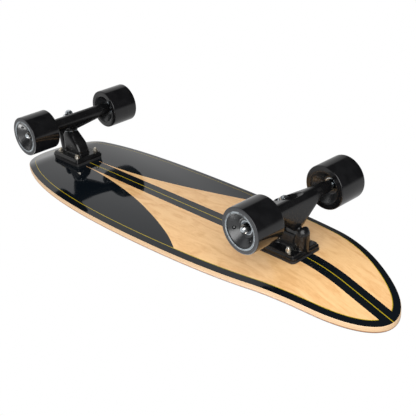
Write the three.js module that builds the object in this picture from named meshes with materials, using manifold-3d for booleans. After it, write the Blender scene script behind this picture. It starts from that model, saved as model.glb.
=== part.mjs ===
// A surf skateboard, standing on its wheels: millimetres, +Z up, +X to the nose, the floor at z = 0.
import * as THREE from 'three';
import { ConvexGeometry } from 'three/addons/geometries/ConvexGeometry.js';
import { mergeVertices } from 'three/addons/utils/BufferGeometryUtils.js';
import Module from 'manifold-3d';

const wasm = await Module();
wasm.setup();

// General clearances
const fitGap = 0.3;
const cutOverrun = 4;
const weldTolerance = 1e-4;

// Deck
const deckLength = 842;
const deckWidth = 238;
const deckThickness = 9.5;
const concaveRise = 10.2;
const concaveFlatHalf = 30;
const tailKickLength = 178;
const tailKickRadius = 300;
const tailKickAngle = THREE.MathUtils.degToRad(18.8);
const noseKickLength = 81;
const noseKickRadius = 120;
const noseKickAngle = THREE.MathUtils.degToRad(15);
const waistShare = 0.99;
const flareShare = 1.06;
const waistPlaceShare = 0.433;
const deckStations = 32;
const deckWidthShares = [-1, -0.82, -0.6, -0.25, 0.25, 0.6, 0.82, 1];
const gripThickness = 0.9;
const gripInset = 1.2;

// Mounting hardware
const boltSpacingAlong = 54;
const boltSpacingAcross = 41.3;
const boltRadius = 2.4;
const boltHoleClearance = 0.4;
const boltHeadRadius = 4.7;
const boltHeadDepth = 2.6;
const boltTipLength = 2.5;
const lockNutFlats = 8;
const lockNutHeight = 5.5;

// Wheels and bearings
const wheelRadius = 35;
const wheelWidth = 52;
const wheelOuterReach = 113.5;
const lipRadius = 2;
const coreRadius = 26;
const coreInset = 1.2;
const bearingRadius = 11;
const bearingWidth = 7;
const bearingDepth = 13;
const bearingSpacing = 10;
const bearingSeatWall = 3;
const bearingShoulder = 1.7;
const axleRadius = 3.9;
const spacerWall = 1.5;
const speedWasherThickness = 0.7;
const axleTipLength = 2;
const axleNutFlats = 12.7;
const axleNutHeight = 6;

// Kingpin stack, measured along the kingpin from the middle of the hanger's ring
const ringHalfThickness = 2.75;
const kingpinRadius = 4.75;
const kingpinBoreClearance = 2.65;
const kingpinEmbed = 24;
const kingpinTipLength = 1.5;
const kingpinNutFlats = 14.3;
const kingpinNutHeight = 7;
const boardBushingRadius = 12;
const boardBushingHeight = 10.5;
const boardWasherOverhang = 0.5;
const roadBushingHeight = 9;
const washerThickness = 2;
const washerDish = 0.8;
const recessClearance = 1.3;
const skirtLength = 7.2;

// Pivot
const pivotBallRadius = 5.4;
const pivotStubWaist = 0.7;
const pivotStubLength = 7;
const pivotCupWall = 2.4;
const pivotCupMouth = 3;
const pivotCupFloor = 7.5;
const pivotPostWall = 3;
const pivotPostFloor = 3;
const pivotPostRound = 1.8;

// Trucks: reaches are measured from the middle of the bolt pattern towards the pivot, drops below the deck,
// and the bolt pattern's inset from the truck's own end of the deck
const axleDrop = 82.5;
const plateThickness = 8.5;
const plateFlange = 5;
const plateStep = 2.5;
const plateHalfWidth = 29.8;
const plateCorner = 5.5;
const tubeEndRadius = 8;
const tubeNeckLength = 18;
const frontTruck = {
  name: 'front',
  boltInset: 115,
  heading: 0,
  riserThickness: 5,
  riserMargin: -1,
  plateHalfLength: 39.8,
  plateShift: 3.5,
  ringReach: 14,
  ringDrop: 69.5,
  kingpinLean: 0,
  steeringAngle: THREE.MathUtils.degToRad(47),
  pivotDistance: 35,
  axleReach: -11,
  tubeRadius: 12,
  webHalfWidth: 46,
  bossWall: 3.7,
  roadLip: 2,
  nutCutClearance: 8.7,
  nutCutSpread: 0,
  roadBushingRadius: 12,
  roadBushingTipRadius: 12,
  roadWasherRadius: 12,
};
const rearTruck = {
  name: 'rear',
  boltInset: 199,
  heading: Math.PI,
  riserThickness: 3,
  riserMargin: 0.8,
  plateHalfLength: 44,
  plateShift: 0,
  ringReach: -5,
  ringDrop: 65,
  kingpinLean: THREE.MathUtils.degToRad(30),
  steeringAngle: THREE.MathUtils.degToRad(34),
  pivotDistance: 48,
  axleReach: 24.5,
  tubeRadius: 10.3,
  webHalfWidth: 46,
  bossWall: 1.7,
  roadLip: 0,
  nutCutClearance: 2.7,
  nutCutSpread: 3.5,
  roadBushingRadius: 11.5,
  roadBushingTipRadius: 8.5,
  roadWasherRadius: 9.5,
};

// Facets
const wheelSides = 28;
const coreSides = 20;
const tubeSides = 20;
const turnedSides = 16;
const axleSides = 12;
const smallSides = 10;
const nutBoreSegments = 5;
const cornerSegments = 2;

// Derived places
const deckBottom = wheelRadius + axleDrop;
const tailKickStart = deckLength / 2 - tailKickLength;
const noseKickStart = deckLength / 2 - noseKickLength;
const gripBottom = deckThickness + fitGap;
const gripTop = gripBottom + gripThickness;
const boltHoleRadius = boltRadius + boltHoleClearance;
const wheelInnerReach = wheelOuterReach - wheelWidth;
const outerBearingReach = wheelOuterReach - bearingDepth;
const innerBearingReach = outerBearingReach - bearingWidth - bearingSpacing;
const tubeEndReach = innerBearingReach - bearingWidth - speedWasherThickness - 2 * fitGap;
const axleNutReach = outerBearingReach + speedWasherThickness + fitGap;
const axleEndReach = axleNutReach + axleNutHeight + axleTipLength;
const kingpinBoreRadius = kingpinRadius + kingpinBoreClearance;
const boardWasherRadius = boardBushingRadius + boardWasherOverhang;
const recessRadius = boardBushingRadius + recessClearance;
const pivotStubRadius = pivotBallRadius - pivotStubWaist;
const pivotCupBore = pivotBallRadius + fitGap;
const pivotCupRadius = pivotCupBore + pivotCupWall;
const pivotPostBore = pivotCupRadius + fitGap;
const pivotPostRadius = pivotPostBore + pivotPostWall;
const boardWasherBase = ringHalfThickness + boardBushingHeight + 2 * fitGap;
const seatHeight = boardWasherBase + washerThickness + fitGap;
const roadWasherBase = ringHalfThickness + roadBushingHeight + 2 * fitGap;
const kingpinNutBase = roadWasherBase + washerThickness + fitGap;

const board = new THREE.Group();

const finishes = {
  maple: { color: 0xe2b884, roughness: 0.35, metalness: 0 },
  grit: { color: 0x1b1b1c, roughness: 0.95, metalness: 0 },
  blackCast: { color: 0x17171a, roughness: 0.4, metalness: 0.3 },
  blackRubber: { color: 0x202022, roughness: 0.7, metalness: 0 },
  urethane: { color: 0x0d0d0f, roughness: 0.25, metalness: 0 },
  nylon: { color: 0x2b2c2f, roughness: 0.45, metalness: 0 },
  steel: { color: 0xb9bcc0, roughness: 0.25, metalness: 1 },
};

function finish(name) {
  return new THREE.MeshStandardMaterial(finishes[name]);
}

function addPiece(parent, name, geometry, finishName) {
  const mesh = new THREE.Mesh(geometry, finish(finishName));
  mesh.name = name;
  parent.add(mesh);
  return mesh;
}

// Solids

function weld(geometry) {
  geometry.deleteAttribute('normal');
  geometry.deleteAttribute('uv');
  return mergeVertices(geometry, weldTolerance);
}

function toSolid(geometry) {
  const welded = weld(geometry);
  const vertProperties = new Float32Array(welded.attributes.position.array);
  const triVerts = new Uint32Array(welded.index.array);
  return new wasm.Manifold(new wasm.Mesh({ numProp: 3, vertProperties, triVerts }));
}

function fromSolid(solid) {
  const mesh = solid.getMesh();
  const geometry = new THREE.BufferGeometry();
  geometry.setAttribute('position', new THREE.BufferAttribute(mesh.vertProperties, mesh.numProp));
  geometry.setIndex(new THREE.BufferAttribute(mesh.triVerts, 1));
  return geometry;
}

function joined(geometries) {
  return geometries.map(toSolid).reduce((whole, piece) => whole.add(piece));
}

function cut(solid, geometries) {
  return geometries.map(toSolid).reduce((whole, piece) => whole.subtract(piece), solid);
}

// A piece turned about the Z axis, from [radius, height] pairs listed anticlockwise, the radius to the right
function turned(profile, sides) {
  const points = profile.map(([radius, height]) => new THREE.Vector2(radius, height));
  const geometry = new THREE.LatheGeometry(points, sides);
  geometry.rotateX(Math.PI / 2);
  return weld(geometry);
}

function ring(innerRadius, outerRadius, low, high, sides) {
  return turned(
    [[innerRadius, low], [outerRadius, low], [outerRadius, high], [innerRadius, high], [innerRadius, low]],
    sides,
  );
}

function rod(radius, low, high, sides) {
  return turned([[0, low], [radius, low], [radius, high], [0, high]], sides);
}

function ball(radius, sides) {
  return new THREE.SphereGeometry(radius, sides, sides / 2);
}

function placed(geometry, x, y, z, turnAboutY = 0) {
  return geometry.rotateY(turnAboutY).translate(x, y, z);
}

function alongY(geometry) {
  return geometry.rotateX(-Math.PI / 2);
}

function hull(points) {
  return new ConvexGeometry(points);
}

// Points of a circle whose axis is the Z axis turned about Y
function circlePoints(radius, sides, x, y, z, turnAboutY = 0) {
  const points = [];
  for (let side = 0; side < sides; side += 1) {
    const angle = (2 * Math.PI * side) / sides;
    const point = new THREE.Vector3(radius * Math.cos(angle), radius * Math.sin(angle), 0);
    point.applyAxisAngle(new THREE.Vector3(0, 1, 0), turnAboutY);
    points.push(point.add(new THREE.Vector3(x, y, z)));
  }
  return points;
}

function tubeCirclePoints(radius, x, y, z) {
  const points = [];
  for (let side = 0; side < tubeSides; side += 1) {
    const angle = (2 * Math.PI * side) / tubeSides;
    points.push(new THREE.Vector3(x + radius * Math.cos(angle), y, z + radius * Math.sin(angle)));
  }
  return points;
}

function rectanglePoints(xLow, xHigh, yHalf, z) {
  return [
    new THREE.Vector3(xLow, -yHalf, z),
    new THREE.Vector3(xHigh, -yHalf, z),
    new THREE.Vector3(xHigh, yHalf, z),
    new THREE.Vector3(xLow, yHalf, z),
  ];
}

function roundedRectangle(halfLength, halfWidth, corner) {
  const shape = new THREE.Shape();
  const right = halfLength - corner;
  const top = halfWidth - corner;
  shape.moveTo(-right, -halfWidth);
  shape.lineTo(right, -halfWidth);
  shape.absarc(right, -top, corner, -Math.PI / 2, 0, false);
  shape.lineTo(halfLength, top);
  shape.absarc(right, top, corner, 0, Math.PI / 2, false);
  shape.lineTo(-right, halfWidth);
  shape.absarc(-right, top, corner, Math.PI / 2, Math.PI, false);
  shape.lineTo(-halfLength, -top);
  shape.absarc(-right, -top, corner, Math.PI, 1.5 * Math.PI, false);
  return shape;
}

function slab(shape, low, high) {
  const settings = { depth: high - low, bevelEnabled: false, curveSegments: cornerSegments };
  return new THREE.ExtrudeGeometry(shape, settings).translate(0, 0, low);
}

function hexagon(flats) {
  const shape = new THREE.Shape();
  const reach = flats / Math.sqrt(3);
  for (let corner = 0; corner < 6; corner += 1) {
    const angle = (Math.PI * corner) / 3;
    const x = reach * Math.cos(angle);
    const y = reach * Math.sin(angle);
    if (corner === 0) shape.moveTo(x, y);
    else shape.lineTo(x, y);
  }
  shape.closePath();
  return shape;
}

function hexNut(flats, boreRadius, low, high) {
  const shape = hexagon(flats);
  const bore = new THREE.Path();
  bore.absarc(0, 0, boreRadius, 0, 2 * Math.PI, true);
  shape.holes.push(bore);
  const settings = { depth: high - low, bevelEnabled: false, curveSegments: nutBoreSegments };
  return weld(new THREE.ExtrudeGeometry(shape, settings).translate(0, 0, low));
}

// Deck surface

function kickRise(x) {
  const tail = kickAlong(-x - tailKickStart, tailKickRadius, tailKickAngle);
  const nose = kickAlong(x - noseKickStart, noseKickRadius, noseKickAngle);
  return tail + nose;
}

// Height at a distance past the start of a kick: an arc, then its tangent
function kickAlong(distance, radius, angle) {
  if (distance <= 0) return 0;
  const arcLength = radius * Math.sin(angle);
  if (distance <= arcLength) return radius - Math.sqrt(radius * radius - distance * distance);
  return radius * (1 - Math.cos(angle)) + (distance - arcLength) * Math.tan(angle);
}

function concaveHeight(y) {
  const past = Math.max(0, Math.abs(y) - concaveFlatHalf);
  const share = past / (deckWidth / 2 - concaveFlatHalf);
  return concaveRise * share * share;
}

function deckHalfWidth(share) {
  const flare = waistShare + flareShare * (share - waistPlaceShare) ** 2;
  return deckWidth * Math.sqrt(share * (1 - share)) * flare;
}

// A sheet that follows the deck between two heights above its underside, drawn in from the deck's outline
function deckSheet(low, high, inset) {
  const shrink = 1 - inset / (deckWidth / 2);
  const lengthHalf = deckLength / 2 - inset;
  const positions = [];
  const rows = [];
  for (let station = 0; station <= deckStations; station += 1) {
    const share = (1 - Math.cos((Math.PI * station) / deckStations)) / 2;
    const x = lengthHalf * (2 * share - 1);
    const isTip = station === 0 || station === deckStations;
    const widthShares = isTip ? [0] : deckWidthShares;
    const row = { low: [], high: [] };
    for (const widthShare of widthShares) {
      const y = widthShare * deckHalfWidth(share) * shrink;
      const rise = kickRise(x) + concaveHeight(y);
      for (const [side, height] of [['low', low], ['high', high]]) {
        row[side].push(positions.length / 3);
        positions.push(x, y, rise + height);
      }
    }
    rows.push(row);
  }
  const indices = [];
  for (let station = 0; station < deckStations; station += 1) {
    const here = rows[station];
    const next = rows[station + 1];
    const columns = deckWidthShares.length - 1;
    const at = (list, column) => list[Math.min(column, list.length - 1)];
    const triangle = (a, b, c) => {
      if (a !== b && b !== c && c !== a) indices.push(a, b, c);
    };
    const quad = (a, b, c, d) => {
      triangle(a, b, c);
      triangle(a, c, d);
    };
    for (let column = 0; column < columns; column += 1) {
      const right = column + 1;
      quad(at(here.high, column), at(next.high, column), at(next.high, right), at(here.high, right));
      quad(at(here.low, column), at(here.low, right), at(next.low, right), at(next.low, column));
    }
    quad(at(here.low, 0), at(next.low, 0), at(next.high, 0), at(here.high, 0));
    quad(at(here.low, columns), at(here.high, columns), at(next.high, columns), at(next.low, columns));
  }
  const geometry = new THREE.BufferGeometry();
  geometry.setAttribute('position', new THREE.Float32BufferAttribute(positions, 3));
  geometry.setIndex(indices);
  return geometry;
}

function frontward(truck) {
  return truck.heading === 0 ? 1 : -1;
}

function boltMiddle(truck) {
  return frontward(truck) * (deckLength / 2 - truck.boltInset);
}

function boltPlaces() {
  const places = [];
  for (const truck of [frontTruck, rearTruck]) {
    for (const along of [-1, 1]) {
      for (const across of [-1, 1]) {
        places.push({
          truck,
          x: boltMiddle(truck) + (along * boltSpacingAlong) / 2,
          y: (across * boltSpacingAcross) / 2,
          end: along > 0 ? 'nose' : 'tail',
          side: across > 0 ? 'left' : 'right',
        });
      }
    }
  }
  return places;
}

function boltHole(x, y) {
  const headTop = gripTop + cutOverrun;
  const headBase = gripTop - boltHeadDepth;
  return turned(
    [
      [0, -cutOverrun],
      [boltHoleRadius, -cutOverrun],
      [boltHoleRadius, headBase],
      [boltHeadRadius + fitGap, gripTop],
      [boltHeadRadius + fitGap, headTop],
      [0, headTop],
    ],
    smallSides,
  ).translate(x, y, 0);
}

function buildDeck() {
  const group = new THREE.Group();
  group.position.z = deckBottom;
  const holes = () => boltPlaces().map(({ x, y }) => boltHole(x, y));
  addPiece(group, 'deck', fromSolid(cut(toSolid(deckSheet(0, deckThickness, 0)), holes())), 'maple');
  const grip = cut(toSolid(deckSheet(gripBottom, gripTop, gripInset)), holes());
  addPiece(group, 'grip_tape', fromSolid(grip), 'grit');
  return group;
}

function buildMountingHardware() {
  const group = new THREE.Group();
  group.position.z = deckBottom;
  for (const { truck, x, y, end, side } of boltPlaces()) {
    const label = `${truck.name}_${end}_${side}`;
    const nutTop = -truck.riserThickness - plateThickness;
    const nutBottom = nutTop - lockNutHeight;
    const bolt = turned(
      [
        [0, nutBottom - boltTipLength],
        [boltRadius, nutBottom - boltTipLength],
        [boltRadius, gripTop - boltHeadDepth],
        [boltHeadRadius, gripTop],
        [0, gripTop],
      ],
      smallSides,
    );
    addPiece(group, `mounting_bolt_${label}`, bolt.translate(x, y, 0), 'steel');
    const nut = hexNut(lockNutFlats, boltRadius + fitGap, nutBottom, nutTop);
    addPiece(group, `mounting_nut_${label}`, nut.translate(x, y, 0), 'steel');
  }
  return group;
}

// Trucks, each in a frame with its origin in the middle of its bolt pattern on the deck's underside,
// the pivot towards +X and the road below

function ringPlace(truck) {
  return new THREE.Vector3(truck.ringReach, 0, -truck.ringDrop);
}

function steeringDirection(truck) {
  return new THREE.Vector3(Math.cos(truck.steeringAngle), 0, Math.sin(truck.steeringAngle));
}

function pivotPlace(truck, beyond = 0) {
  return ringPlace(truck).addScaledVector(steeringDirection(truck), truck.pivotDistance + beyond);
}

// Turns about Y that carry the Z axis onto the kingpin, head end up, and onto the steering axis, deck end up
function kingpinTurn(truck) {
  return -truck.kingpinLean;
}

function steeringTurn(truck) {
  return Math.PI / 2 - truck.steeringAngle;
}

function kingpinPlace(truck, height) {
  const along = new THREE.Vector3(-Math.sin(truck.kingpinLean), 0, Math.cos(truck.kingpinLean));
  return ringPlace(truck).addScaledVector(along, height);
}

function onKingpin(truck, geometry) {
  const { x, y, z } = ringPlace(truck);
  return placed(geometry, x, y, z, kingpinTurn(truck));
}

function onSteeringAxis(truck, geometry) {
  const { x, y, z } = pivotPlace(truck);
  return placed(geometry, x, y, z, steeringTurn(truck));
}

function bossRadius(truck) {
  return recessRadius + truck.bossWall;
}

function nutCutRadius(truck) {
  return kingpinNutFlats / Math.sqrt(3) + truck.nutCutClearance;
}

function kingpinCircle(truck, radius, height) {
  const { x, y, z } = kingpinPlace(truck, height);
  return circlePoints(radius, turnedSides, x, y, z, kingpinTurn(truck));
}

function steeringCircle(truck, radius, beyond) {
  const { x, y, z } = pivotPlace(truck, beyond);
  return circlePoints(radius, turnedSides, x, y, z, steeringTurn(truck));
}

function plateTop(truck) {
  return -truck.riserThickness - plateThickness;
}

// The height inside the plate's flange at which what stands on the plate begins
function footHeight(truck) {
  return -truck.riserThickness - plateFlange + plateStep;
}

function mountingHoles(low, high) {
  const holes = [];
  for (const along of [-1, 1]) {
    for (const across of [-1, 1]) {
      const hole = rod(boltHoleRadius, low - cutOverrun, high + cutOverrun, smallSides);
      holes.push(hole.translate((along * boltSpacingAlong) / 2, (across * boltSpacingAcross) / 2, 0));
    }
  }
  return holes;
}

function riser(truck) {
  const outline = roundedRectangle(
    truck.plateHalfLength + truck.riserMargin,
    plateHalfWidth + truck.riserMargin,
    plateCorner + truck.riserMargin,
  );
  const pad = toSolid(slab(outline, -truck.riserThickness, 0).translate(truck.plateShift, 0, 0));
  return fromSolid(cut(pad, mountingHoles(-truck.riserThickness, 0)));
}

// The post on the baseplate that holds the pivot cup
function pivotPost(truck) {
  const footReach = truck.plateShift + truck.plateHalfLength - pivotPostRadius;
  const mouth = -pivotCupMouth - fitGap;
  return hull([
    ...steeringCircle(truck, pivotPostRadius - pivotPostRound, mouth),
    ...steeringCircle(truck, pivotPostRadius, mouth + pivotPostRound),
    ...steeringCircle(truck, pivotPostRadius, pivotCupFloor + pivotPostFloor),
    ...circlePoints(pivotPostRadius, turnedSides, footReach, 0, footHeight(truck)),
  ]);
}

function plateBlocks(truck) {
  const underside = -truck.riserThickness;
  const flangeTop = underside - plateFlange;
  const outline = roundedRectangle(truck.plateHalfLength, plateHalfWidth, plateCorner);
  const flange = slab(outline, flangeTop, underside);
  const step = slab(
    roundedRectangle(truck.plateHalfLength - plateStep, plateHalfWidth - plateStep, plateCorner - plateStep),
    plateTop(truck),
    footHeight(truck),
  );
  return [flange.translate(truck.plateShift, 0, 0), step.translate(truck.plateShift, 0, 0)];
}

function baseplateCuts(truck) {
  const kingpinHoleEnd = seatHeight + kingpinEmbed;
  const kingpinHole = rod(kingpinRadius + fitGap, seatHeight - cutOverrun, kingpinHoleEnd, turnedSides);
  const cupHole = rod(pivotPostBore, -pivotCupMouth - cutOverrun, pivotCupFloor + fitGap, turnedSides);
  return [
    onKingpin(truck, kingpinHole),
    onSteeringAxis(truck, cupHole),
    ...mountingHoles(plateTop(truck), -truck.riserThickness),
  ];
}

// Front tower: a fin whose tail edge curves towards the nose as it nears the kingpin's seat. The points of
// that edge are shares of the way from the fin's foot to the kingpin, and from the plate to the seat.
const frontTower = {
  halfWidth: 12,
  footReach: -22,
  seatMargin: -2.5,
  noseMargin: 1,
  tailEdgeShares: [
    { along: 0, up: 0.04 },
    { along: 0.01, up: 0.19 },
    { along: 0.17, up: 0.49 },
    { along: 0.75, up: 0.84 },
  ],
};

function frontTowerBlocks(truck) {
  const { halfWidth, footReach, seatMargin, noseMargin, tailEdgeShares } = frontTower;
  const nose = truck.ringReach + boardWasherRadius + noseMargin;
  const low = plateTop(truck);
  const high = kingpinPlace(truck, seatHeight).z;
  const levels = tailEdgeShares.map(({ along, up }) => {
    const reach = THREE.MathUtils.lerp(footReach, truck.ringReach, along);
    return rectanglePoints(reach, nose, halfWidth, THREE.MathUtils.lerp(low, high, up));
  });
  return [
    hull([
      ...rectanglePoints(footReach, nose, halfWidth, footHeight(truck)),
      ...levels.flat(),
      ...kingpinCircle(truck, boardWasherRadius + seatMargin, seatHeight),
    ]),
  ];
}

// Rear tower: a wedge under the leaning kingpin's seat, tied to the pivot post by a rib
const rearTower = {
  halfWidth: 14,
  footInner: -41,
  footOuter: 2,
  seatMargin: 1,
  ribInner: -20,
  ribFootHalfWidth: 10.5,
  ribTopHalfWidth: 7,
  ribRise: 21.5,
};

function rearTowerBlocks(truck) {
  const { halfWidth, footInner, footOuter, seatMargin, ribInner, ribRise } = rearTower;
  const ribOuter = pivotPlace(truck).x;
  return [
    hull([
      ...rectanglePoints(footInner, footOuter, halfWidth, footHeight(truck)),
      ...kingpinCircle(truck, boardWasherRadius + seatMargin, seatHeight),
    ]),
    hull([
      ...rectanglePoints(ribInner, ribOuter, rearTower.ribFootHalfWidth, footHeight(truck)),
      ...rectanglePoints(ribInner, ribOuter, rearTower.ribTopHalfWidth, plateTop(truck) - ribRise),
    ]),
  ];
}

function baseplate(truck, towerBlocks) {
  const whole = joined([...plateBlocks(truck), ...towerBlocks, pivotPost(truck)]);
  return fromSolid(cut(whole, baseplateCuts(truck)));
}

function pivotCup(truck) {
  const cup = turned(
    [
      [0, pivotCupFloor],
      [0, pivotBallRadius + fitGap],
      [pivotCupBore, pivotBallRadius + fitGap],
      [pivotCupBore, -pivotCupMouth],
      [pivotCupRadius, -pivotCupMouth],
      [pivotCupRadius, pivotCupFloor],
      [0, pivotCupFloor],
    ],
    turnedSides,
  );
  return onSteeringAxis(truck, cup);
}

function hangerTube(truck) {
  const neck = tubeEndReach - tubeNeckLength;
  const tube = turned(
    [
      [0, -tubeEndReach],
      [tubeEndRadius, -tubeEndReach],
      [truck.tubeRadius, -neck],
      [truck.tubeRadius, neck],
      [tubeEndRadius, tubeEndReach],
      [0, tubeEndReach],
    ],
    tubeSides,
  );
  return placed(alongY(tube), truck.axleReach, 0, -axleDrop);
}

function hangerStub(truck, length) {
  return [
    onSteeringAxis(truck, rod(pivotStubRadius, -length - fitGap, 0, turnedSides)),
    onSteeringAxis(truck, ball(pivotBallRadius, turnedSides)),
  ];
}

function hangerCuts(truck) {
  const boardReach = ringHalfThickness + skirtLength + cutOverrun;
  const boardRecess = rod(recessRadius, ringHalfThickness, boardReach, turnedSides);
  const roadLip = ringHalfThickness + truck.roadLip;
  const roadReach = kingpinNutBase + kingpinNutHeight + cutOverrun + kingpinTipLength;
  const roadRecess = rod(recessRadius, -roadWasherBase, -ringHalfThickness, turnedSides);
  const nutCut = hull([-roadReach, -roadLip].flatMap((height) => [
    ...circlePoints(nutCutRadius(truck), turnedSides, 0, -truck.nutCutSpread, height),
    ...circlePoints(nutCutRadius(truck), turnedSides, 0, truck.nutCutSpread, height),
  ]));
  const bore = rod(kingpinBoreRadius, -roadLip - fitGap, ringHalfThickness + fitGap, turnedSides);
  const axleBoreReach = tubeEndReach + cutOverrun;
  const axleBore = rod(axleRadius + fitGap, -axleBoreReach, axleBoreReach, turnedSides);
  return [
    onKingpin(truck, boardRecess),
    onKingpin(truck, roadRecess),
    onKingpin(truck, nutCut),
    onKingpin(truck, bore),
    placed(alongY(axleBore), truck.axleReach, 0, -axleDrop),
  ];
}

function hangerWeb(truck) {
  return hull([
    ...tubeCirclePoints(truck.tubeRadius, truck.axleReach, -truck.webHalfWidth, -axleDrop),
    ...tubeCirclePoints(truck.tubeRadius, truck.axleReach, truck.webHalfWidth, -axleDrop),
    ...kingpinCircle(truck, bossRadius(truck), ringHalfThickness + skirtLength),
    ...kingpinCircle(truck, bossRadius(truck), -ringHalfThickness - truck.roadLip),
  ]);
}

// Front strut: from the nose side of the ring up to the pivot's stub, clear of the board-side washer
const frontStrut = {
  washerClearance: 1.1,
  thickness: 9.4,
  halfWidth: 7,
};

// Rear gusset: from the tube down to the thick end of the pivot's neck
const rearGusset = {
  endRadius: 8,
  endLength: 7,
};

// Rear scoop: opens the nut's recess through the road side of the tube, clear of the axle
const rearScoop = {
  throatRadius: 9,
  mouthRadius: 17.5,
  halfSpread: 7,
  depth: 17,
};

function axleAlongKingpin(truck) {
  const reach = truck.axleReach - truck.ringReach;
  const drop = axleDrop - truck.ringDrop;
  return reach * Math.sin(truck.kingpinLean) + drop * Math.cos(truck.kingpinLean);
}

function roadScoop(truck) {
  const { throatRadius, mouthRadius, halfSpread, depth } = rearScoop;
  const mouth = axleAlongKingpin(truck) + truck.tubeRadius + cutOverrun;
  const scoop = hull([
    ...circlePoints(throatRadius, turnedSides, 0, -halfSpread, depth - mouth),
    ...circlePoints(throatRadius, turnedSides, 0, halfSpread, depth - mouth),
    ...circlePoints(mouthRadius, turnedSides, 0, -halfSpread, -mouth),
    ...circlePoints(mouthRadius, turnedSides, 0, halfSpread, -mouth),
  ]);
  return onKingpin(truck, scoop);
}

function frontHanger(truck) {
  const { washerClearance, thickness, halfWidth } = frontStrut;
  const inner = boardWasherRadius + washerClearance;
  const top = -truck.ringDrop + ringHalfThickness + skirtLength;
  const bottom = -truck.ringDrop - ringHalfThickness;
  const strut = hull([
    ...rectanglePoints(truck.ringReach + inner, truck.ringReach + inner + thickness, halfWidth, top),
    ...rectanglePoints(truck.ringReach + inner, truck.ringReach + bossRadius(truck), halfWidth, bottom),
    ...steeringCircle(truck, pivotStubRadius, -pivotStubLength),
  ]);
  const body = joined([hangerTube(truck), hangerWeb(truck)]);
  return fromSolid(cut(body, hangerCuts(truck)).add(joined([strut, ...hangerStub(truck, pivotStubLength)])));
}

function rearHanger(truck) {
  const gusset = hull([
    ...tubeCirclePoints(truck.tubeRadius, truck.axleReach, -truck.webHalfWidth, -axleDrop),
    ...tubeCirclePoints(truck.tubeRadius, truck.axleReach, truck.webHalfWidth, -axleDrop),
    ...steeringCircle(truck, rearGusset.endRadius, -rearGusset.endLength),
  ]);
  const body = joined([hangerTube(truck), hangerWeb(truck), gusset]);
  const opened = cut(body, [...hangerCuts(truck), roadScoop(truck)]);
  return fromSolid(opened.add(joined(hangerStub(truck, rearGusset.endLength))));
}

// The axle with its speed washers and bearing spacers
function axle() {
  const spacerRadius = axleRadius + spacerWall;
  const spacerLow = innerBearingReach + fitGap;
  const spacerHigh = outerBearingReach - bearingWidth - fitGap;
  const washerLow = tubeEndReach + fitGap;
  const washerHigh = washerLow + speedWasherThickness;
  const half = [
    [axleRadius, washerLow],
    [spacerRadius, washerLow],
    [spacerRadius, washerHigh],
    [axleRadius, washerHigh],
    [axleRadius, spacerLow],
    [spacerRadius, spacerLow],
    [spacerRadius, spacerHigh],
    [axleRadius, spacerHigh],
    [axleRadius, axleEndReach],
    [0, axleEndReach],
  ];
  const mirrored = half.map(([radius, reach]) => [radius, -reach]).reverse();
  return alongY(turned([...mirrored, ...half], axleSides));
}

function buildTruck(truck, hangerGeometry, towerBlocks) {
  const group = new THREE.Group();
  group.position.set(boltMiddle(truck), 0, deckBottom);
  group.rotation.z = truck.heading;
  const { name } = truck;
  addPiece(group, `${name}_riser_pad`, riser(truck), 'blackRubber');
  addPiece(group, `${name}_baseplate`, baseplate(truck, towerBlocks), 'blackCast');
  addPiece(group, `${name}_pivot_cup`, pivotCup(truck), 'blackRubber');
  addPiece(group, `${name}_hanger`, hangerGeometry, 'blackCast');
  addPiece(group, `${name}_axle`, axle().translate(truck.axleReach, 0, -axleDrop), 'steel');

  const kingpin = new THREE.Group();
  kingpin.position.copy(ringPlace(truck));
  kingpin.rotation.y = kingpinTurn(truck);
  group.add(kingpin);
  const pinLow = -kingpinNutBase - kingpinNutHeight - kingpinTipLength;
  const pinHigh = seatHeight + kingpinEmbed - fitGap;
  addPiece(kingpin, `${name}_kingpin`, rod(kingpinRadius, pinLow, pinHigh, turnedSides), 'steel');
  const nutEnd = kingpinNutBase + kingpinNutHeight;
  const nut = hexNut(kingpinNutFlats, kingpinRadius + fitGap, -nutEnd, -kingpinNutBase);
  addPiece(kingpin, `${name}_kingpin_nut`, nut, 'steel');
  const boardBushing = bushing(boardBushingRadius, boardBushingRadius, boardBushingHeight);
  boardBushing.translate(0, 0, ringHalfThickness + fitGap);
  addPiece(kingpin, `${name}_board_side_bushing`, boardBushing, 'blackRubber');
  const roadBushing = bushing(truck.roadBushingTipRadius, truck.roadBushingRadius, roadBushingHeight);
  roadBushing.translate(0, 0, -ringHalfThickness - fitGap - roadBushingHeight);
  addPiece(kingpin, `${name}_road_side_bushing`, roadBushing, 'blackRubber');
  const boardWasher = cupWasher(boardWasherRadius).translate(0, 0, boardWasherBase);
  addPiece(kingpin, `${name}_board_side_washer`, boardWasher, 'steel');
  const roadWasher = cupWasher(truck.roadWasherRadius).rotateX(Math.PI).translate(0, 0, -roadWasherBase);
  addPiece(kingpin, `${name}_road_side_washer`, roadWasher, 'steel');
  return group;
}

function bushing(lowRadius, highRadius, height) {
  const bore = kingpinRadius + fitGap;
  return turned([[bore, 0], [lowRadius, 0], [highRadius, height], [bore, height], [bore, 0]], turnedSides);
}

function cupWasher(radius) {
  const bore = kingpinRadius + fitGap;
  return turned(
    [
      [bore, 0],
      [radius, 0],
      [radius, washerDish],
      [radius - washerDish, washerThickness],
      [bore, washerThickness],
      [bore, 0],
    ],
    turnedSides,
  );
}

// Wheels, each in a frame with its origin on the axle in the board's middle plane, its outer face towards +Z

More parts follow.
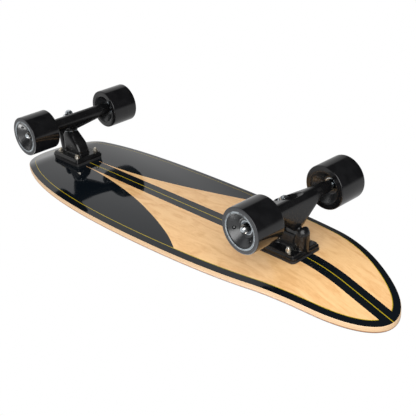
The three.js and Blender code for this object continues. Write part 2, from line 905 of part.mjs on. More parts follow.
function tyre() {
  const reach = 1 / Math.cos(Math.PI / wheelSides);
  const outer = wheelRadius * reach;
  const inset = lipRadius * (1 - Math.SQRT1_2);
  const bore = coreRadius * reach;
  return turned(
    [
      [bore, wheelInnerReach],
      [outer - lipRadius, wheelInnerReach],
      [outer - inset, wheelInnerReach + inset],
      [outer, wheelInnerReach + lipRadius],
      [outer, wheelOuterReach - lipRadius],
      [outer - inset, wheelOuterReach - inset],
      [outer - lipRadius, wheelOuterReach],
      [bore, wheelOuterReach],
      [bore, wheelInnerReach],
    ],
    wheelSides,
  );
}

function wheelCore() {
  const outer = coreRadius - fitGap;
  const seat = bearingRadius + fitGap;
  const dishFloor = bearingRadius + bearingSeatWall;
  const shoulder = bearingRadius - bearingShoulder;
  const low = wheelInnerReach + coreInset;
  const high = wheelOuterReach - coreInset;
  const innerSeatLow = innerBearingReach - bearingWidth;
  const shoulderLow = innerBearingReach + fitGap;
  const shoulderHigh = outerBearingReach - bearingWidth - fitGap;
  return turned(
    [
      [dishFloor, innerSeatLow],
      [outer, low],
      [outer, high],
      [dishFloor, outerBearingReach],
      [seat, outerBearingReach],
      [seat, shoulderHigh],
      [shoulder, shoulderHigh],
      [shoulder, shoulderLow],
      [seat, shoulderLow],
      [seat, innerSeatLow],
      [dishFloor, innerSeatLow],
    ],
    coreSides,
  );
}

function bearing(outerReach) {
  return ring(axleRadius + fitGap, bearingRadius, outerReach - bearingWidth, outerReach, turnedSides);
}

function buildWheel(truck, side) {
  const group = new THREE.Group();
  group.position.set(boltMiddle(truck) + frontward(truck) * truck.axleReach, 0, wheelRadius);
  const outward = side === 'left' ? 1 : -1;
  group.rotation.x = (-outward * Math.PI) / 2;
  const label = `${truck.name}_${side}`;
  const flatDown = new THREE.Group();
  flatDown.rotation.z = Math.PI / wheelSides;
  group.add(flatDown);
  addPiece(flatDown, `${label}_wheel_tyre`, tyre(), 'urethane');
  addPiece(group, `${label}_wheel_core`, wheelCore(), 'nylon');
  addPiece(group, `${label}_inner_bearing`, bearing(innerBearingReach), 'steel');
  addPiece(group, `${label}_outer_bearing`, bearing(outerBearingReach), 'steel');
  const nut = hexNut(axleNutFlats, axleRadius + fitGap, axleNutReach, axleNutReach + axleNutHeight);
  addPiece(group, `${label}_axle_nut`, nut, 'steel');
  return group;
}

board.add(buildDeck());
board.add(buildMountingHardware());
board.add(buildTruck(frontTruck, frontHanger(frontTruck), frontTowerBlocks(frontTruck)));
board.add(buildTruck(rearTruck, rearHanger(rearTruck), rearTowerBlocks(rearTruck)));
for (const truck of [frontTruck, rearTruck]) {
  for (const side of ['left', 'right']) {
    board.add(buildWheel(truck, side));
  }
}

export default board;
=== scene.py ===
import math

import bmesh
import bpy
import numpy as np
from mathutils import Matrix, Vector


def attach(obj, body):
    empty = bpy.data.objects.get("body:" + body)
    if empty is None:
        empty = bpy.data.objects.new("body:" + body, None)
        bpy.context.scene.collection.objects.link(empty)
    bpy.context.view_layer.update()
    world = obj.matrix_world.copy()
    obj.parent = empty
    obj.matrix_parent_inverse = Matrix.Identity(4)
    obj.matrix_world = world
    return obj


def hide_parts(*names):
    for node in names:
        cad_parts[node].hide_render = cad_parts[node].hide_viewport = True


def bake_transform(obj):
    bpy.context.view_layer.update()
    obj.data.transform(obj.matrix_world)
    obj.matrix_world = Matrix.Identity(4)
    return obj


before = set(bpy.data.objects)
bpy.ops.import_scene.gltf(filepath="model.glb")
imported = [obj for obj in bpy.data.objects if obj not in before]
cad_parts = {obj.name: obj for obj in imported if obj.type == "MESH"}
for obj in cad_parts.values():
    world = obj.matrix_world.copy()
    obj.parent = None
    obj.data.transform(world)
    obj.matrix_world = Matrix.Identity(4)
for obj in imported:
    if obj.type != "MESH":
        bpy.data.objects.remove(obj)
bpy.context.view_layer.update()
print("frame loaded:", len(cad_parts), "solids")

mm = 0.001
sides = {"left": 1, "right": -1}
still = Matrix.Identity(4)


# Node trees: a field is a socket that takes part in plain sums and comparisons

def setInput(socket, value):
    if isinstance(value, Field):
        socket.id_data.links.new(value.socket, socket)
    else:
        socket.default_value = value


def operator(operation):
    def act(self, *others):
        node = self.tree.nodes.new("ShaderNodeMath")
        node.operation = operation
        for socket, value in zip(node.inputs, (self, *others)):
            setInput(socket, value)
        return Field(node.outputs[0])
    return act


class Field:
    def __init__(self, socket):
        self.socket = socket
        self.tree = socket.id_data

    def __neg__(self):
        return self * -1.0

    __add__ = __radd__ = operator("ADD")
    __sub__ = operator("SUBTRACT")
    __mul__ = __rmul__ = operator("MULTIPLY")
    __truediv__ = operator("DIVIDE")
    __gt__ = operator("GREATER_THAN")
    __lt__ = operator("LESS_THAN")
    __abs__ = operator("ABSOLUTE")
    __or__ = atLeast = operator("MAXIMUM")
    atMost = operator("MINIMUM")
    power = operator("POWER")
    root = operator("SQRT")
    sine = operator("SINE")
    cosine = operator("COSINE")
    tangent = operator("TANGENT")
    floor = operator("FLOOR")
    fraction = operator("FRACT")


# Adds a node, sets its properties and links or fills its inputs
def addNode(tree, kind, inputs=(), **properties):
    node = tree.nodes.new(kind)
    for name, value in properties.items():
        setattr(node, name, value)
    for name, value in dict(inputs).items():
        setInput(node.inputs[name], value)
    return node


def fieldOf(tree, kind, inputs=(), outputName=0, **properties):
    return Field(addNode(tree, kind, inputs, **properties).outputs[outputName])


def split(vector):
    return [Field(socket) for socket in addNode(vector.tree, "ShaderNodeSeparateXYZ", {0: vector}).outputs]


# Shapes: lists of points and faces in millimetres

# Rounds the corners of an outline given as (radius, height) or (radius, height, fillet)
def rounded(points, closed=True, steps=4, mostOfSide=0.48):
    result = []
    for number, point in enumerate(points):
        here = Vector(point[:2])
        isEnd = not closed and number in (0, len(points) - 1)
        if len(point) < 3 or isEnd:
            result.append(here)
            continue
        toBefore = Vector(points[number - 1][:2]) - here
        toAfter = Vector(points[(number + 1) % len(points)][:2]) - here
        reach = min(point[2], mostOfSide * toBefore.length, mostOfSide * toAfter.length)
        start = here + toBefore.normalized() * reach
        finish = here + toAfter.normalized() * reach
        for step in range(steps + 1):
            share = step / steps
            result.append(start * (1 - share) ** 2 + here * 2 * share * (1 - share) + finish * share ** 2)
    return result


# Turns an outline, listed anticlockwise, about the Z axis
def turned(profile, sideCount, closed=True):
    points = []
    rows = []
    for radius, height in profile:
        if radius < 1e-6:
            rows.append([len(points)] * sideCount)
            points.append((0, 0, height))
            continue
        rows.append(list(range(len(points), len(points) + sideCount)))
        for side in range(sideCount):
            angle = 2 * math.pi * side / sideCount
            points.append((radius * math.cos(angle), radius * math.sin(angle), height))
    return points, ringFaces(rows, closed)


def ringFaces(rows, closed=True):
    faces = []
    last = len(rows) if closed else len(rows) - 1
    for number in range(last):
        here, above = rows[number], rows[(number + 1) % len(rows)]
        for side in range(len(here)):
            right = (side + 1) % len(here)
            face = [here[side], here[right], above[right], above[side]]
            face = [corner for spot, corner in enumerate(face) if corner != face[spot - 1]]
            if len(face) > 2:
                faces.append(face)
    return faces


def rod(radius, low, high, sideCount):
    profile = [(0, low), (radius, low), (radius, high), (0, high)]
    return turned(rounded(profile, closed=False), sideCount, closed=False)


def ballProfile(radius, steps=16):
    angles = [math.pi * step / steps - math.pi / 2 for step in range(steps + 1)]
    return [(radius * math.cos(angle) if 0 < step < steps else 0.0, radius * math.sin(angle))
            for step, angle in enumerate(angles)]


def hull(points):
    shape = bmesh.new()
    for point in points:
        shape.verts.new(point)
    bmesh.ops.convex_hull(shape, input=shape.verts)
    loose = [corner for corner in shape.verts if not corner.link_faces]
    bmesh.ops.delete(shape, geom=loose, context="VERTS")
    shape.verts.index_update()
    result = [tuple(corner.co) for corner in shape.verts], [[v.index for v in f.verts] for f in shape.faces]
    shape.free()
    return result


def circlePoints(radius, sideCount, place):
    angles = [2 * math.pi * side / sideCount for side in range(sideCount)]
    return [place @ Vector((radius * math.cos(a), radius * math.sin(a), 0)) for a in angles]


def rectanglePoints(xLow, xHigh, yHalf, z):
    return [Vector((x, y, z)) for x in (xLow, xHigh) for y in (-yHalf, yHalf)]


def roundedRectangle(xLow, xHigh, yHalf, z, corner, cornerSteps=8):
    points = []
    for quarter in range(4):
        x = xHigh - corner if quarter in (0, 3) else xLow + corner
        y = (yHalf - corner) * (1 if quarter in (0, 1) else -1)
        for step in range(cornerSteps + 1):
            angle = math.pi / 2 * (quarter + step / cornerSteps)
            points.append(Vector((x + corner * math.cos(angle), y + corner * math.sin(angle), z)))
    return points


def slab(half, halfWidth, corner, low, high, shift):
    edges = [roundedRectangle(shift - half, shift + half, halfWidth, z, corner) for z in (low, high)]
    return hull([point for pair in zip(*edges) for point in pair])


def moved(shape, place):
    points, faces = shape
    return [tuple(place @ Vector(point)) for point in points], faces


def addPiece(name, mesh):
    piece = bpy.data.objects.new(name, mesh)
    bpy.context.scene.collection.objects.link(piece)
    return piece


# Makes one mesh object in metres from several shapes, each with a place
def meshFrom(name, shapes, material=None, smoothAngle=32):
    points = []
    faces = []
    for shape, spot in shapes:
        shapePoints, shapeFaces = moved(shape, Matrix.Scale(mm, 4) @ spot)
        faces += [[corner + len(points) for corner in face] for face in shapeFaces]
        points += shapePoints
    mesh = bpy.data.meshes.new(name)
    mesh.from_pydata(points, [], faces)
    if material:
        mesh.materials.append(material)
    outside = bmesh.new()
    outside.from_mesh(mesh)
    bmesh.ops.recalc_face_normals(outside, faces=outside.faces)
    outside.to_mesh(mesh)
    outside.free()
    mesh.shade_smooth()
    mesh.set_sharp_from_angle(angle=math.radians(smoothAngle))
    return addPiece(name, mesh)


# Turns an object with live modifiers into a plain mesh
def settle(piece, smoothAngle=32):
    evaluated = piece.evaluated_get(bpy.context.evaluated_depsgraph_get())
    mesh = bpy.data.meshes.new_from_object(evaluated)
    piece.modifiers.clear()
    piece.data = mesh
    mesh.shade_smooth()
    mesh.set_sharp_from_angle(angle=math.radians(smoothAngle))
    return piece


def addModifier(piece, kind, **properties):
    modifier = piece.modifiers.new(kind.lower(), kind)
    for name, value in properties.items():
        setattr(modifier, name, value)


def cutAway(piece, cuts, smoothAngle=32):
    cutters = [meshFrom(f"cutter{number}", [cut]) for number, cut in enumerate(cuts)]
    for cutter in cutters:
        addModifier(piece, "BOOLEAN", operation="DIFFERENCE", solver="EXACT", object=cutter)
    settle(piece, smoothAngle)
    for cutter in cutters:
        bpy.data.objects.remove(cutter)


def place(piece, body, slotName, *nodes):
    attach(piece, body)
    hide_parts(*nodes)


# Sizes in millimetres, as the solids have them

deck = {
    "length": 842, "width": 238, "thickness": 9.5, "corner": 1.1, "bottom": 117.5,
    "waist": 0.99, "flare": 1.06, "waistPlace": 0.433,
    "concaveRise": 10.2, "flatHalf": 30,
    "tailStart": 243, "tailRadius": 300, "tailAngle": 18.8,
    "noseStart": 340, "noseRadius": 120, "noseAngle": 15,
    "around": 320, "rows": 46, "sideRows": 8, "crowding": 1.6,
}
grip = {
    "gap": 0.3, "thickness": 0.9, "inset": 1.2, "corner": 0.2,
    "holeDeep": -2.5, "holeHigh": 3, "holeSides": 32,
}
bolts = {
    "along": 54, "across": 41.3, "radius": 2.4, "tip": 2.5, "chamfer": 0.5,
    "headRadius": 4.7, "headDepth": 2.6, "rim": 0.35, "socketFlats": 3, "socketDepth": 1.9, "socketCut": 3,
    "nutFlats": 8, "nutHeight": 5.5, "plate": 8.5, "sides": 36, "boltSeed": 7, "nutSeed": 11,
}
wheel = {
    "radius": 35, "width": 52, "reach": 113.5, "lip": 2, "lipSteps": 8, "coreRadius": 26, "coreEdge": 0.4,
    "coreInset": 1.2, "bearingRadius": 11, "bearingWidth": 7, "bearingDepth": 13, "bearingSpacing": 10,
    "seatWall": 3, "shoulder": 1.7, "sides": 96, "coreSides": 80, "bearingSides": 48, "smooth": 40,
}
axle = {
    "radius": 3.9, "spacerWall": 1.5, "washer": 0.7, "tip": 2, "chamfer": 0.6, "sides": 40,
    "nutFlats": 12.7, "nutHeight": 6, "nutClearance": 0.05,
}
kingpin = {
    "radius": 4.75, "tip": 1.5, "chamfer": 0.7, "chamferLength": 0.6, "nutFlats": 14.3, "nutHeight": 7,
    "ringHalf": 2.75, "boreClearance": 2.65, "boardRadius": 12, "boardHeight": 10.5, "washerOverhang": 0.5,
    "roadHeight": 9, "washer": 2, "dish": 0.8, "recess": 1.3, "skirt": 7.2, "embed": 24,
    "sides": 40, "ringSides": 56,
}
pivot = {
    "ball": 5.4, "stubWaist": 0.7, "stubLength": 7, "wall": 2.4, "mouth": 3, "floor": 7.5,
    "postWall": 3, "postFloor": 3, "postDome": 2.5, "domeSteps": 12, "postRound": 2.4, "roundSteps": 5,
    "postFoot": 1.8,
}
plate = {
    "thickness": 8.5, "flange": 5, "step": 2.5, "halfWidth": 29.8, "corner": 5.5,
    "padBevel": 0.5, "padAngle": 50,
}
gap = 0.3
axleDrop = 82.5
tube = {"endRadius": 8, "neck": 18}
trucks = {
    "front": {
        "boltMiddle": 306, "heading": 0, "riser": 5, "riserMargin": -1, "plateHalf": 39.8, "plateShift": 3.5,
        "ringReach": 14, "ringDrop": 69.5, "lean": 0, "steering": 47, "pivotDistance": 35, "axleReach": -11,
        "tubeRadius": 12, "webHalf": 46, "bossWall": 3.7, "roadLip": 2, "nutCut": 8.7, "nutSpread": 0,
        "roadRadius": 12, "roadTip": 12, "roadWasher": 12,
    },
    "rear": {
        "boltMiddle": -222, "heading": 180, "riser": 3, "riserMargin": 0.8, "plateHalf": 44, "plateShift": 0,
        "ringReach": -5, "ringDrop": 65, "lean": 30, "steering": 34, "pivotDistance": 48, "axleReach": 24.5,
        "tubeRadius": 10.3, "webHalf": 46, "bossWall": 1.7, "roadLip": 0, "nutCut": 2.7, "nutSpread": 3.5,
        "roadRadius": 11.5, "roadTip": 8.5, "roadWasher": 9.5,
    },
}
gripTop = deck["bottom"] + deck["thickness"] + grip["gap"] + grip["thickness"]
outerBearing = wheel["reach"] - wheel["bearingDepth"]
innerBearing = outerBearing - wheel["bearingWidth"] - wheel["bearingSpacing"]
tubeEnd = innerBearing - wheel["bearingWidth"] - axle["washer"] - 2 * gap
axleNutReach = outerBearing + axle["washer"] + gap
boardWasherBase = kingpin["ringHalf"] + kingpin["boardHeight"] + 2 * gap
seatHeight = boardWasherBase + kingpin["washer"] + gap
roadWasherBase = kingpin["ringHalf"] + kingpin["roadHeight"] + 2 * gap
nutBase = roadWasherBase + kingpin["washer"] + gap
pinLow = -nutBase - kingpin["nutHeight"] - kingpin["tip"]
boardWasherRadius = kingpin["boardRadius"] + kingpin["washerOverhang"]
recessRadius = kingpin["boardRadius"] + kingpin["recess"]
cupRadius = pivot["ball"] + gap + pivot["wall"]
postBore = cupRadius + gap
postRadius = postBore + pivot["postWall"]


# Places: frames of a truck's own axes

def shifted(x=0.0, y=0.0, z=0.0):
    return Matrix.Translation((x, y, z))


def truckPlace(truck):
    turn = Matrix.Rotation(math.radians(truck["heading"]), 4, "Z")
    return shifted(truck["boltMiddle"], 0, deck["bottom"]) @ turn


def kingpinPlace(truck, height=0.0):
    turn = Matrix.Rotation(-math.radians(truck["lean"]), 4, "Y")
    return shifted(truck["ringReach"], 0, -truck["ringDrop"]) @ turn @ shifted(z=height)


def steeringPlace(truck, beyond=0.0):
    angle = math.radians(truck["steering"])
    reach = truck["pivotDistance"]
    x = truck["ringReach"] + reach * math.cos(angle)
    z = reach * math.sin(angle) - truck["ringDrop"]
    return shifted(x, 0, z) @ Matrix.Rotation(math.pi / 2 - angle, 4, "Y") @ shifted(z=beyond)


def axlePlace(truck):
    return shifted(truck["axleReach"], 0, -axleDrop) @ Matrix.Rotation(-math.pi / 2, 4, "X")


def wheelPlace(truck, outward):
    x = truck["boltMiddle"] + truck["axleReach"] * (1 if truck["heading"] == 0 else -1)
    return shifted(x, 0, wheel["radius"]) @ Matrix.Rotation(-outward * math.pi / 2, 4, "X")


# Materials

def newMaterial(name):
    material = bpy.data.materials.new(name)
    material.use_nodes = True
    tree = material.node_tree
    return material, tree.nodes["Principled BSDF"], fieldOf(tree, "ShaderNodeTexCoord", (), "Object")


def dress(shader, inputs):
    for name, value in inputs.items():
        setInput(shader.inputs[name], value)


def attribute(shader, name):
    return fieldOf(shader.id_data, "ShaderNodeAttribute", (), "Fac", attribute_name=name)


def noise(vector, scale, detail=3.0, roughness=0.5, distortion=0.0, stretch=None):
    if stretch:
        vector = fieldOf(vector.tree, "ShaderNodeMapping", {"Vector": vector, "Scale": stretch})
    return fieldOf(vector.tree, "ShaderNodeTexNoise", {
        "Vector": vector, "Scale": scale, "Detail": detail, "Roughness": roughness, "Distortion": distortion})


def between(value, low, high, lowResult=0.0, highResult=1.0, smooth=False):
    inputs = {"Value": value, "From Min": low, "From Max": high, "To Min": lowResult, "To Max": highResult}
    kind = "SMOOTHSTEP" if smooth else "LINEAR"
    return fieldOf(value.tree, "ShaderNodeMapRange", inputs, interpolation_type=kind)


def mixed(share, first, second):
    first, second = (value if isinstance(value, Field) else (*value, 1) for value in (first, second))
    return fieldOf(share.tree, "ShaderNodeMix", {0: share, 6: first, 7: second}, 2, data_type="RGBA")


def bump(height, strength, distance, **under):
    inputs = {"Height": height, "Strength": strength, "Distance": distance, **under}
    return fieldOf(height.tree, "ShaderNodeBump", inputs)


maplePrint = {
    "rail": 11.4, "pinstripe": 0.55, "stringerHalf": 14.2, "centreLine": 0.8, "noseFrom": 200,
    "blockStart": 250, "blockHalf": 15.0, "blockSlope": 0.0511, "blockCurve": 0.000563, "blockFull": 262,
    "flareFrom": 290, "flareCurve": 0.0015, "skew": 0.0095,
    "ink": (0.0035, 0.0055, 0.008), "yellow": (0.40, 0.30, 0.012),
}
mapleWood = {
    "wood": (0.92, 0.58, 0.275), "woodDark": (0.72, 0.385, 0.15), "woodFrom": 0.46, "woodTo": 0.86,
    "grain": {"stretch": (12, 130, 12), "scale": 4.0, "detail": 5.0, "roughness": 0.6, "distortion": 0.6},
    "figure": {"stretch": (5, 17, 5), "scale": 3.0, "detail": 4.0, "roughness": 0.55, "distortion": 1.6},
    "curl": {"stretch": (22, 60, 22), "scale": 3.0, "roughness": 0.55, "distortion": 3.0},
    "flame": {"stretch": (10, 18, 10), "scale": 2.6, "distortion": 3.4},
    "grainPart": 0.3, "figurePart": 0.7, "curlPart": 0.2, "figureFrom": 0.5, "figureTo": 0.62,
    "flameHalf": 0.03, "flameDepth": 0.6, "lineCount": 9.0, "lineWidth": 0.12, "lineDepth": 0.22,
    "smear": {"scale": 9.0}, "glossy": 0.04, "smeared": 0.09, "peel": {"scale": 160.0, "detail": 2.0},
}
maplePlies = {
    "ply": (0.71, 0.50, 0.30), "plyDark": (0.38, 0.19, 0.09), "count": 7, "sideFrom": 0.012,
    "glue": 0.09, "glueDepth": 0.3, "crossDepth": 0.16, "outer": 0.78, "outerDepth": 0.9, "rougher": 0.4,
    "tone": {"stretch": (25, 25, 600), "scale": 3.0}, "toneDepth": 0.16,
}


# Painted panels, stringer, rail and pinstripes: the share of ink and of yellow at each spot
def maplePrints(x, y, edge):
    values = maplePrint
    across = abs(y)
    along = (-x + values["blockStart"] * mm).atLeast(0.0)
    flare = (along - values["flareFrom"] * mm).atLeast(0.0)
    border = along * along * (values["blockCurve"] / mm) + along * values["blockSlope"]
    border = border + values["blockHalf"] * mm + flare * flare * (values["flareCurve"] / mm)
    inBlock = abs(y + along * values["skew"]) > border
    inNose = x > values["blockFull"] * mm
    inked = inBlock | inNose | (across < values["stringerHalf"] * mm) | (edge < values["rail"] * mm)
    lineMiddle = (values["rail"] + values["pinstripe"]) * mm
    pinstripeShown = (across > values["stringerHalf"] * mm) | (x > values["noseFrom"] * mm)
    onPinstripe = (abs(edge - lineMiddle) < values["pinstripe"] * mm) * pinstripeShown
    return inked, onPinstripe | (across < values["centreLine"] * mm)


def lacqueredMaple():
    material, shader, coordinates = newMaterial("lacqueredMaple")
    wood, plies = mapleWood, maplePlies
    x, y, _ = split(coordinates)
    height = attribute(shader, "plyShare")

    names = ("grain", "figure", "curl", "flame")
    grain, figure, curl, flame = (noise(coordinates, **wood[name]) for name in names)
    figured = between(figure, wood["figureFrom"], wood["figureTo"])
    tone = grain * wood["grainPart"] + figure * wood["figurePart"] + curl * wood["curlPart"]
    flames = between(abs(flame - 0.5), 0.0, wood["flameHalf"], wood["flameDepth"], 0.0, smooth=True) * figured
    fineLines = ((curl * wood["lineCount"]).fraction() < wood["lineWidth"]) * (figured * wood["lineDepth"])
    dark = between(tone, wood["woodFrom"], wood["woodTo"], smooth=True) | flames | fineLines
    inked, onLine = maplePrints(x, y, attribute(shader, "edgeDistance"))
    painted = mixed(inked, mixed(dark, wood["wood"], wood["woodDark"]), maplePrint["ink"])
    face = mixed(onLine, painted, maplePrint["yellow"])

    layers = height * plies["count"]
    glue = (layers.fraction() < plies["glue"]) * plies["glueDepth"]
    crossLayer = ((layers.floor() * 0.5).fraction() > 0.25) * plies["crossDepth"]
    outerLayer = (height > plies["outer"]) * plies["outerDepth"]
    layerShare = crossLayer + noise(coordinates, **plies["tone"]) * plies["toneDepth"] + glue + outerLayer
    onSide = height > plies["sideFrom"]
    smear = between(noise(coordinates, **wood["smear"]), 0.3, 0.8, wood["glossy"], wood["smeared"])
    peel = bump(noise(coordinates, **wood["peel"]), 0.05, 0.0004)
    dress(shader, {
        "Base Color": mixed(onSide, face, mixed(layerShare, plies["ply"], plies["plyDark"])),
        "Roughness": onSide * plies["rougher"] + smear, "IOR": 1.5,
        "Normal": bump(grain, 0.03, 0.0004, Normal=peel),
    })
    return material


def grit():
    material, shader, coordinates = newMaterial("grit")
    grain = fieldOf(coordinates.tree, "ShaderNodeTexVoronoi", {"Vector": coordinates, "Scale": 1500.0})
    patch = noise(coordinates, scale=22.0, detail=4.0)
    speck = between(grain + patch * 0.35, 0.35, 0.9)
    dress(shader, {
        "Base Color": mixed(speck, (0.012, 0.012, 0.013), (0.075, 0.075, 0.08)),
        "Roughness": between(patch, 0.2, 0.8, 0.78, 0.95), "Normal": bump(grain, 0.7, 0.0006),
    })
    return material


# A plain coated or moulded finish with fine mottling, roughness variation and a skin texture
def mouldedFinish(name, colour, lift, smoothest, roughest, skinScale, skinDepth, sheen=0.5):
    material, shader, coordinates = newMaterial(name)
    cloud = noise(coordinates, scale=45.0, detail=4.0)
    skin = noise(coordinates, scale=skinScale, roughness=0.6)
    brighter = tuple(part * lift for part in colour)
    dress(shader, {
        "Base Color": mixed(between(cloud, 0.3, 0.7, smooth=True), colour, brighter),
        "Roughness": between(cloud * 0.6 + skin * 0.4, 0.3, 0.7, smoothest, roughest),
        "Normal": bump(skin, 0.25, skinDepth), "Specular IOR Level": sheen,
    })
    return material


# The attributes wheelRadius and wheelReach are metres from the axle and out along it
urethaneValues = {
    "base": (0.0035, 0.0035, 0.004), "baseLight": (0.0065, 0.0065, 0.0072), "face": (0.03, 0.031, 0.034),
    "faceDepth": 0.9, "faceRougher": 0.3, "smoothest": 0.08, "roughest": 0.17, "turning": 5200.0,
    "ring": (0.42, 0.47, 0.50), "ringRadius": 27.3, "ringHalf": 1.2, "thinHalf": 0.5, "thinShare": 0.3,
}


def wheelUrethane():
    values = urethaneValues
    material, shader, coordinates = newMaterial("wheelUrethane")
    reach = attribute(shader, "wheelReach")
    cloud = noise(coordinates, scale=60.0, detail=4.0)
    wear = noise(coordinates, scale=420.0, roughness=0.7)
    onFace = reach > (wheel["reach"] - values["faceDepth"]) * mm
    fromRing = abs(attribute(shader, "wheelRadius") - values["ringRadius"] * mm)
    onRing = (fromRing < values["ringHalf"] * mm) * onFace
    ringShare = onRing * (fromRing > values["thinHalf"] * mm).atLeast(values["thinShare"])
    printed = ringShare * between(wear * 0.5 + cloud * 0.5, 0.38, 0.56)
    base = mixed(between(cloud, 0.35, 0.65), values["base"], values["baseLight"])
    # The outer face gets a lighter grey: partly its matt ground finish, partly a painted sheen standing in
    # for the light it catches
    base = mixed(onFace, base, values["face"])
    rough = between(cloud * 0.7 + wear * 0.3, 0.3, 0.7, values["smoothest"], values["roughest"])
    dress(shader, {
        "Base Color": mixed(printed, base, values["ring"]),
        "Roughness": rough + onFace * values["faceRougher"],
        "Normal": bump((reach * values["turning"]).sine() * 0.5 + cloud, 0.03, 0.0001),
    })
    return material


def platedSteel(name, colour, warm, smoothest, roughest, shield=None):
    material, shader, coordinates = newMaterial(name)
    cloud = noise(coordinates, scale=180.0, detail=4.0)
    scratches = noise(coordinates, stretch=(300, 300, 2400), scale=3.0, roughness=0.7)
    tone = mixed(between(cloud, 0.35, 0.7), colour, warm)
    if shield:
        onShield = abs(attribute(shader, "wheelRadius") - shield["middle"] * mm) < shield["half"] * mm
        tone = mixed(onShield, tone, shield["colour"])
    dress(shader, {
        "Base Color": tone, "Metallic": 1.0, "Normal": bump(scratches, 0.1, 0.0001),
        "Roughness": between(cloud * 0.5 + scratches * 0.5, 0.3, 0.7, smoothest, roughest),
    })
    return material


maple = lacqueredMaple()
gritFinish = grit()
castBlack = mouldedFinish("castBlack", (0.0035, 0.0035, 0.0038), 1.8, 0.2, 0.32, 900.0, 0.0002, 0.42)
rubberBlack = mouldedFinish("rubberBlack", (0.011, 0.011, 0.012), 1.6, 0.5, 0.68, 700.0, 0.0003)
bushingBlack = mouldedFinish("bushingBlack", (0.012, 0.012, 0.0135), 1.5, 0.3, 0.42, 500.0, 0.0002)
nylonBlack = mouldedFinish("nylonBlack", (0.007, 0.0075, 0.0082), 2.0, 0.2, 0.4, 600.0, 0.0002, 0.9)
urethane = wheelUrethane()
brightSteel = platedSteel("brightSteel", (0.55, 0.60, 0.64), (0.68, 0.71, 0.72), 0.16, 0.3)
bearingSteel = platedSteel("bearingSteel", (0.62, 0.68, 0.72), (0.72, 0.76, 0.78), 0.12, 0.24,
                           {"middle": 7.7, "half": 1.8, "colour": (0.16, 0.18, 0.20)})
nutSteel = platedSteel("nutSteel", (0.24, 0.25, 0.26), (0.38, 0.34, 0.29), 0.08, 0.2)
zincSteel = platedSteel("zincSteel", (0.84, 0.81, 0.75), (0.90, 0.80, 0.64), 0.2, 0.36)
print("materials made")


# Deck and grip tape: one rule-based sheet, made by a node tree

def newGeometryTree(name, inputs):
    tree = bpy.data.node_groups.new(name, "GeometryNodeTree")
    tree.interface.new_socket(name="Geometry", in_out="OUTPUT", socket_type="NodeSocketGeometry")
    for label, kind in inputs.items():
        tree.interface.new_socket(name=label, in_out="INPUT", socket_type="NodeSocket" + kind)
    entry = tree.nodes.new("NodeGroupInput")
    return tree, {label: Field(entry.outputs[label]) for label in inputs}


def endTree(tree, geometry, finish):
    real = fieldOf(tree, "GeometryNodeRealizeInstances", {"Geometry": geometry})
    dressed = fieldOf(tree, "GeometryNodeSetMaterial", {"Geometry": real, "Material": finish})
    addNode(tree, "NodeGroupOutput", {0: dressed})
    return tree


deckSizes = [
    "Length", "Width", "Low", "High", "Inset", "Corner", "Waist", "Flare", "Waist Place", "Concave Rise",
    "Flat Half", "Tail Start", "Tail Radius", "Tail Angle", "Nose Start", "Nose Radius", "Nose Angle",
]


def deckTree():
    inputs = {label: "Float" for label in deckSizes}
    inputs.update({"Around": "Int", "Rows": "Int", "Side Rows": "Int", "Finish": "Material"})
    tree, size = newGeometryTree("deckSheet", inputs)

    # Height at a distance past the start of a kick: an arc, then its tangent
    def kick(distance, radius, angle):
        past = distance.atLeast(0.0)
        arcLength = radius * angle.sine()
        onArc = past.atMost(arcLength)
        arc = radius - (radius * radius - onArc * onArc).root()
        return arc + (past - arcLength).atLeast(0.0) * angle.tangent()

    # A grid whose rows run round the outline. Its shape gives a row's share outward, inset and height
    def band(rows, shape):
        grid = fieldOf(tree, "GeometryNodeMeshGrid", {
            "Size X": 1.0, "Size Y": 1.0, "Vertices X": size["Around"], "Vertices Y": size[rows]})
        gridX, gridY, _ = split(fieldOf(tree, "GeometryNodeInputPosition"))
        angle = (gridX + 0.5) * (2 * math.pi)
        scale, inset, height = shape(gridY + 0.5)
        inset = inset + size["Inset"]
        fromWaist = (angle.cosine() * -0.5) + 0.5 - size["Waist Place"]
        flare = size["Waist"] + size["Flare"] * fromWaist * fromWaist
        halfWidth = size["Width"] * 0.5
        x = -(size["Length"] * 0.5 - inset) * angle.cosine() * scale
        y = (halfWidth - inset) * angle.sine() * flare * scale
        tail = kick(-x - size["Tail Start"], size["Tail Radius"], size["Tail Angle"])
        nose = kick(x - size["Nose Start"], size["Nose Radius"], size["Nose Angle"])
        past = (abs(y) - size["Flat Half"]).atLeast(0.0) / (halfWidth - size["Flat Half"])
        z = tail + nose + past * past * size["Concave Rise"] + height
        plyShare = (height - size["Low"]) / (size["High"] - size["Low"])
        stored = fieldOf(tree, "GeometryNodeStoreNamedAttribute", {
            "Geometry": grid, "Name": "plyShare", "Value": plyShare})
        corner = fieldOf(tree, "ShaderNodeCombineXYZ", {"X": x, "Y": y, "Z": z})
        return fieldOf(tree, "GeometryNodeSetPosition", {"Geometry": stored, "Position": corner})

    # Rows of the flat sheets crowd towards the edge
    def sheet(label):
        def shape(share):
            return -(-share + 1.0).power(deck["crowding"]) + 1.0, size["Corner"], size[label]
        return shape

    def sideWall(share):
        turn = share * math.pi
        straight = size["High"] - size["Low"] - size["Corner"] * 2.0
        inset = size["Corner"] - size["Corner"] * turn.sine()
        height = size["Low"] + size["Corner"] - size["Corner"] * turn.cosine() + (share > 0.5) * straight
        return share * 0.0 + 1.0, inset, height

    def flipped(mesh):
        return fieldOf(tree, "GeometryNodeFlipFaces", {"Mesh": mesh})

    under, over = flipped(band("Rows", sheet("Low"))), band("Rows", sheet("High"))
    together = addNode(tree, "GeometryNodeJoinGeometry")
    for part in (under, over, flipped(band("Side Rows", sideWall))):
        setInput(together.inputs[0], part)
    merged = fieldOf(tree, "GeometryNodeMergeByDistance", {
        "Geometry": Field(together.outputs[0]), "Distance": 2e-5})
    return endTree(tree, merged, size["Finish"])


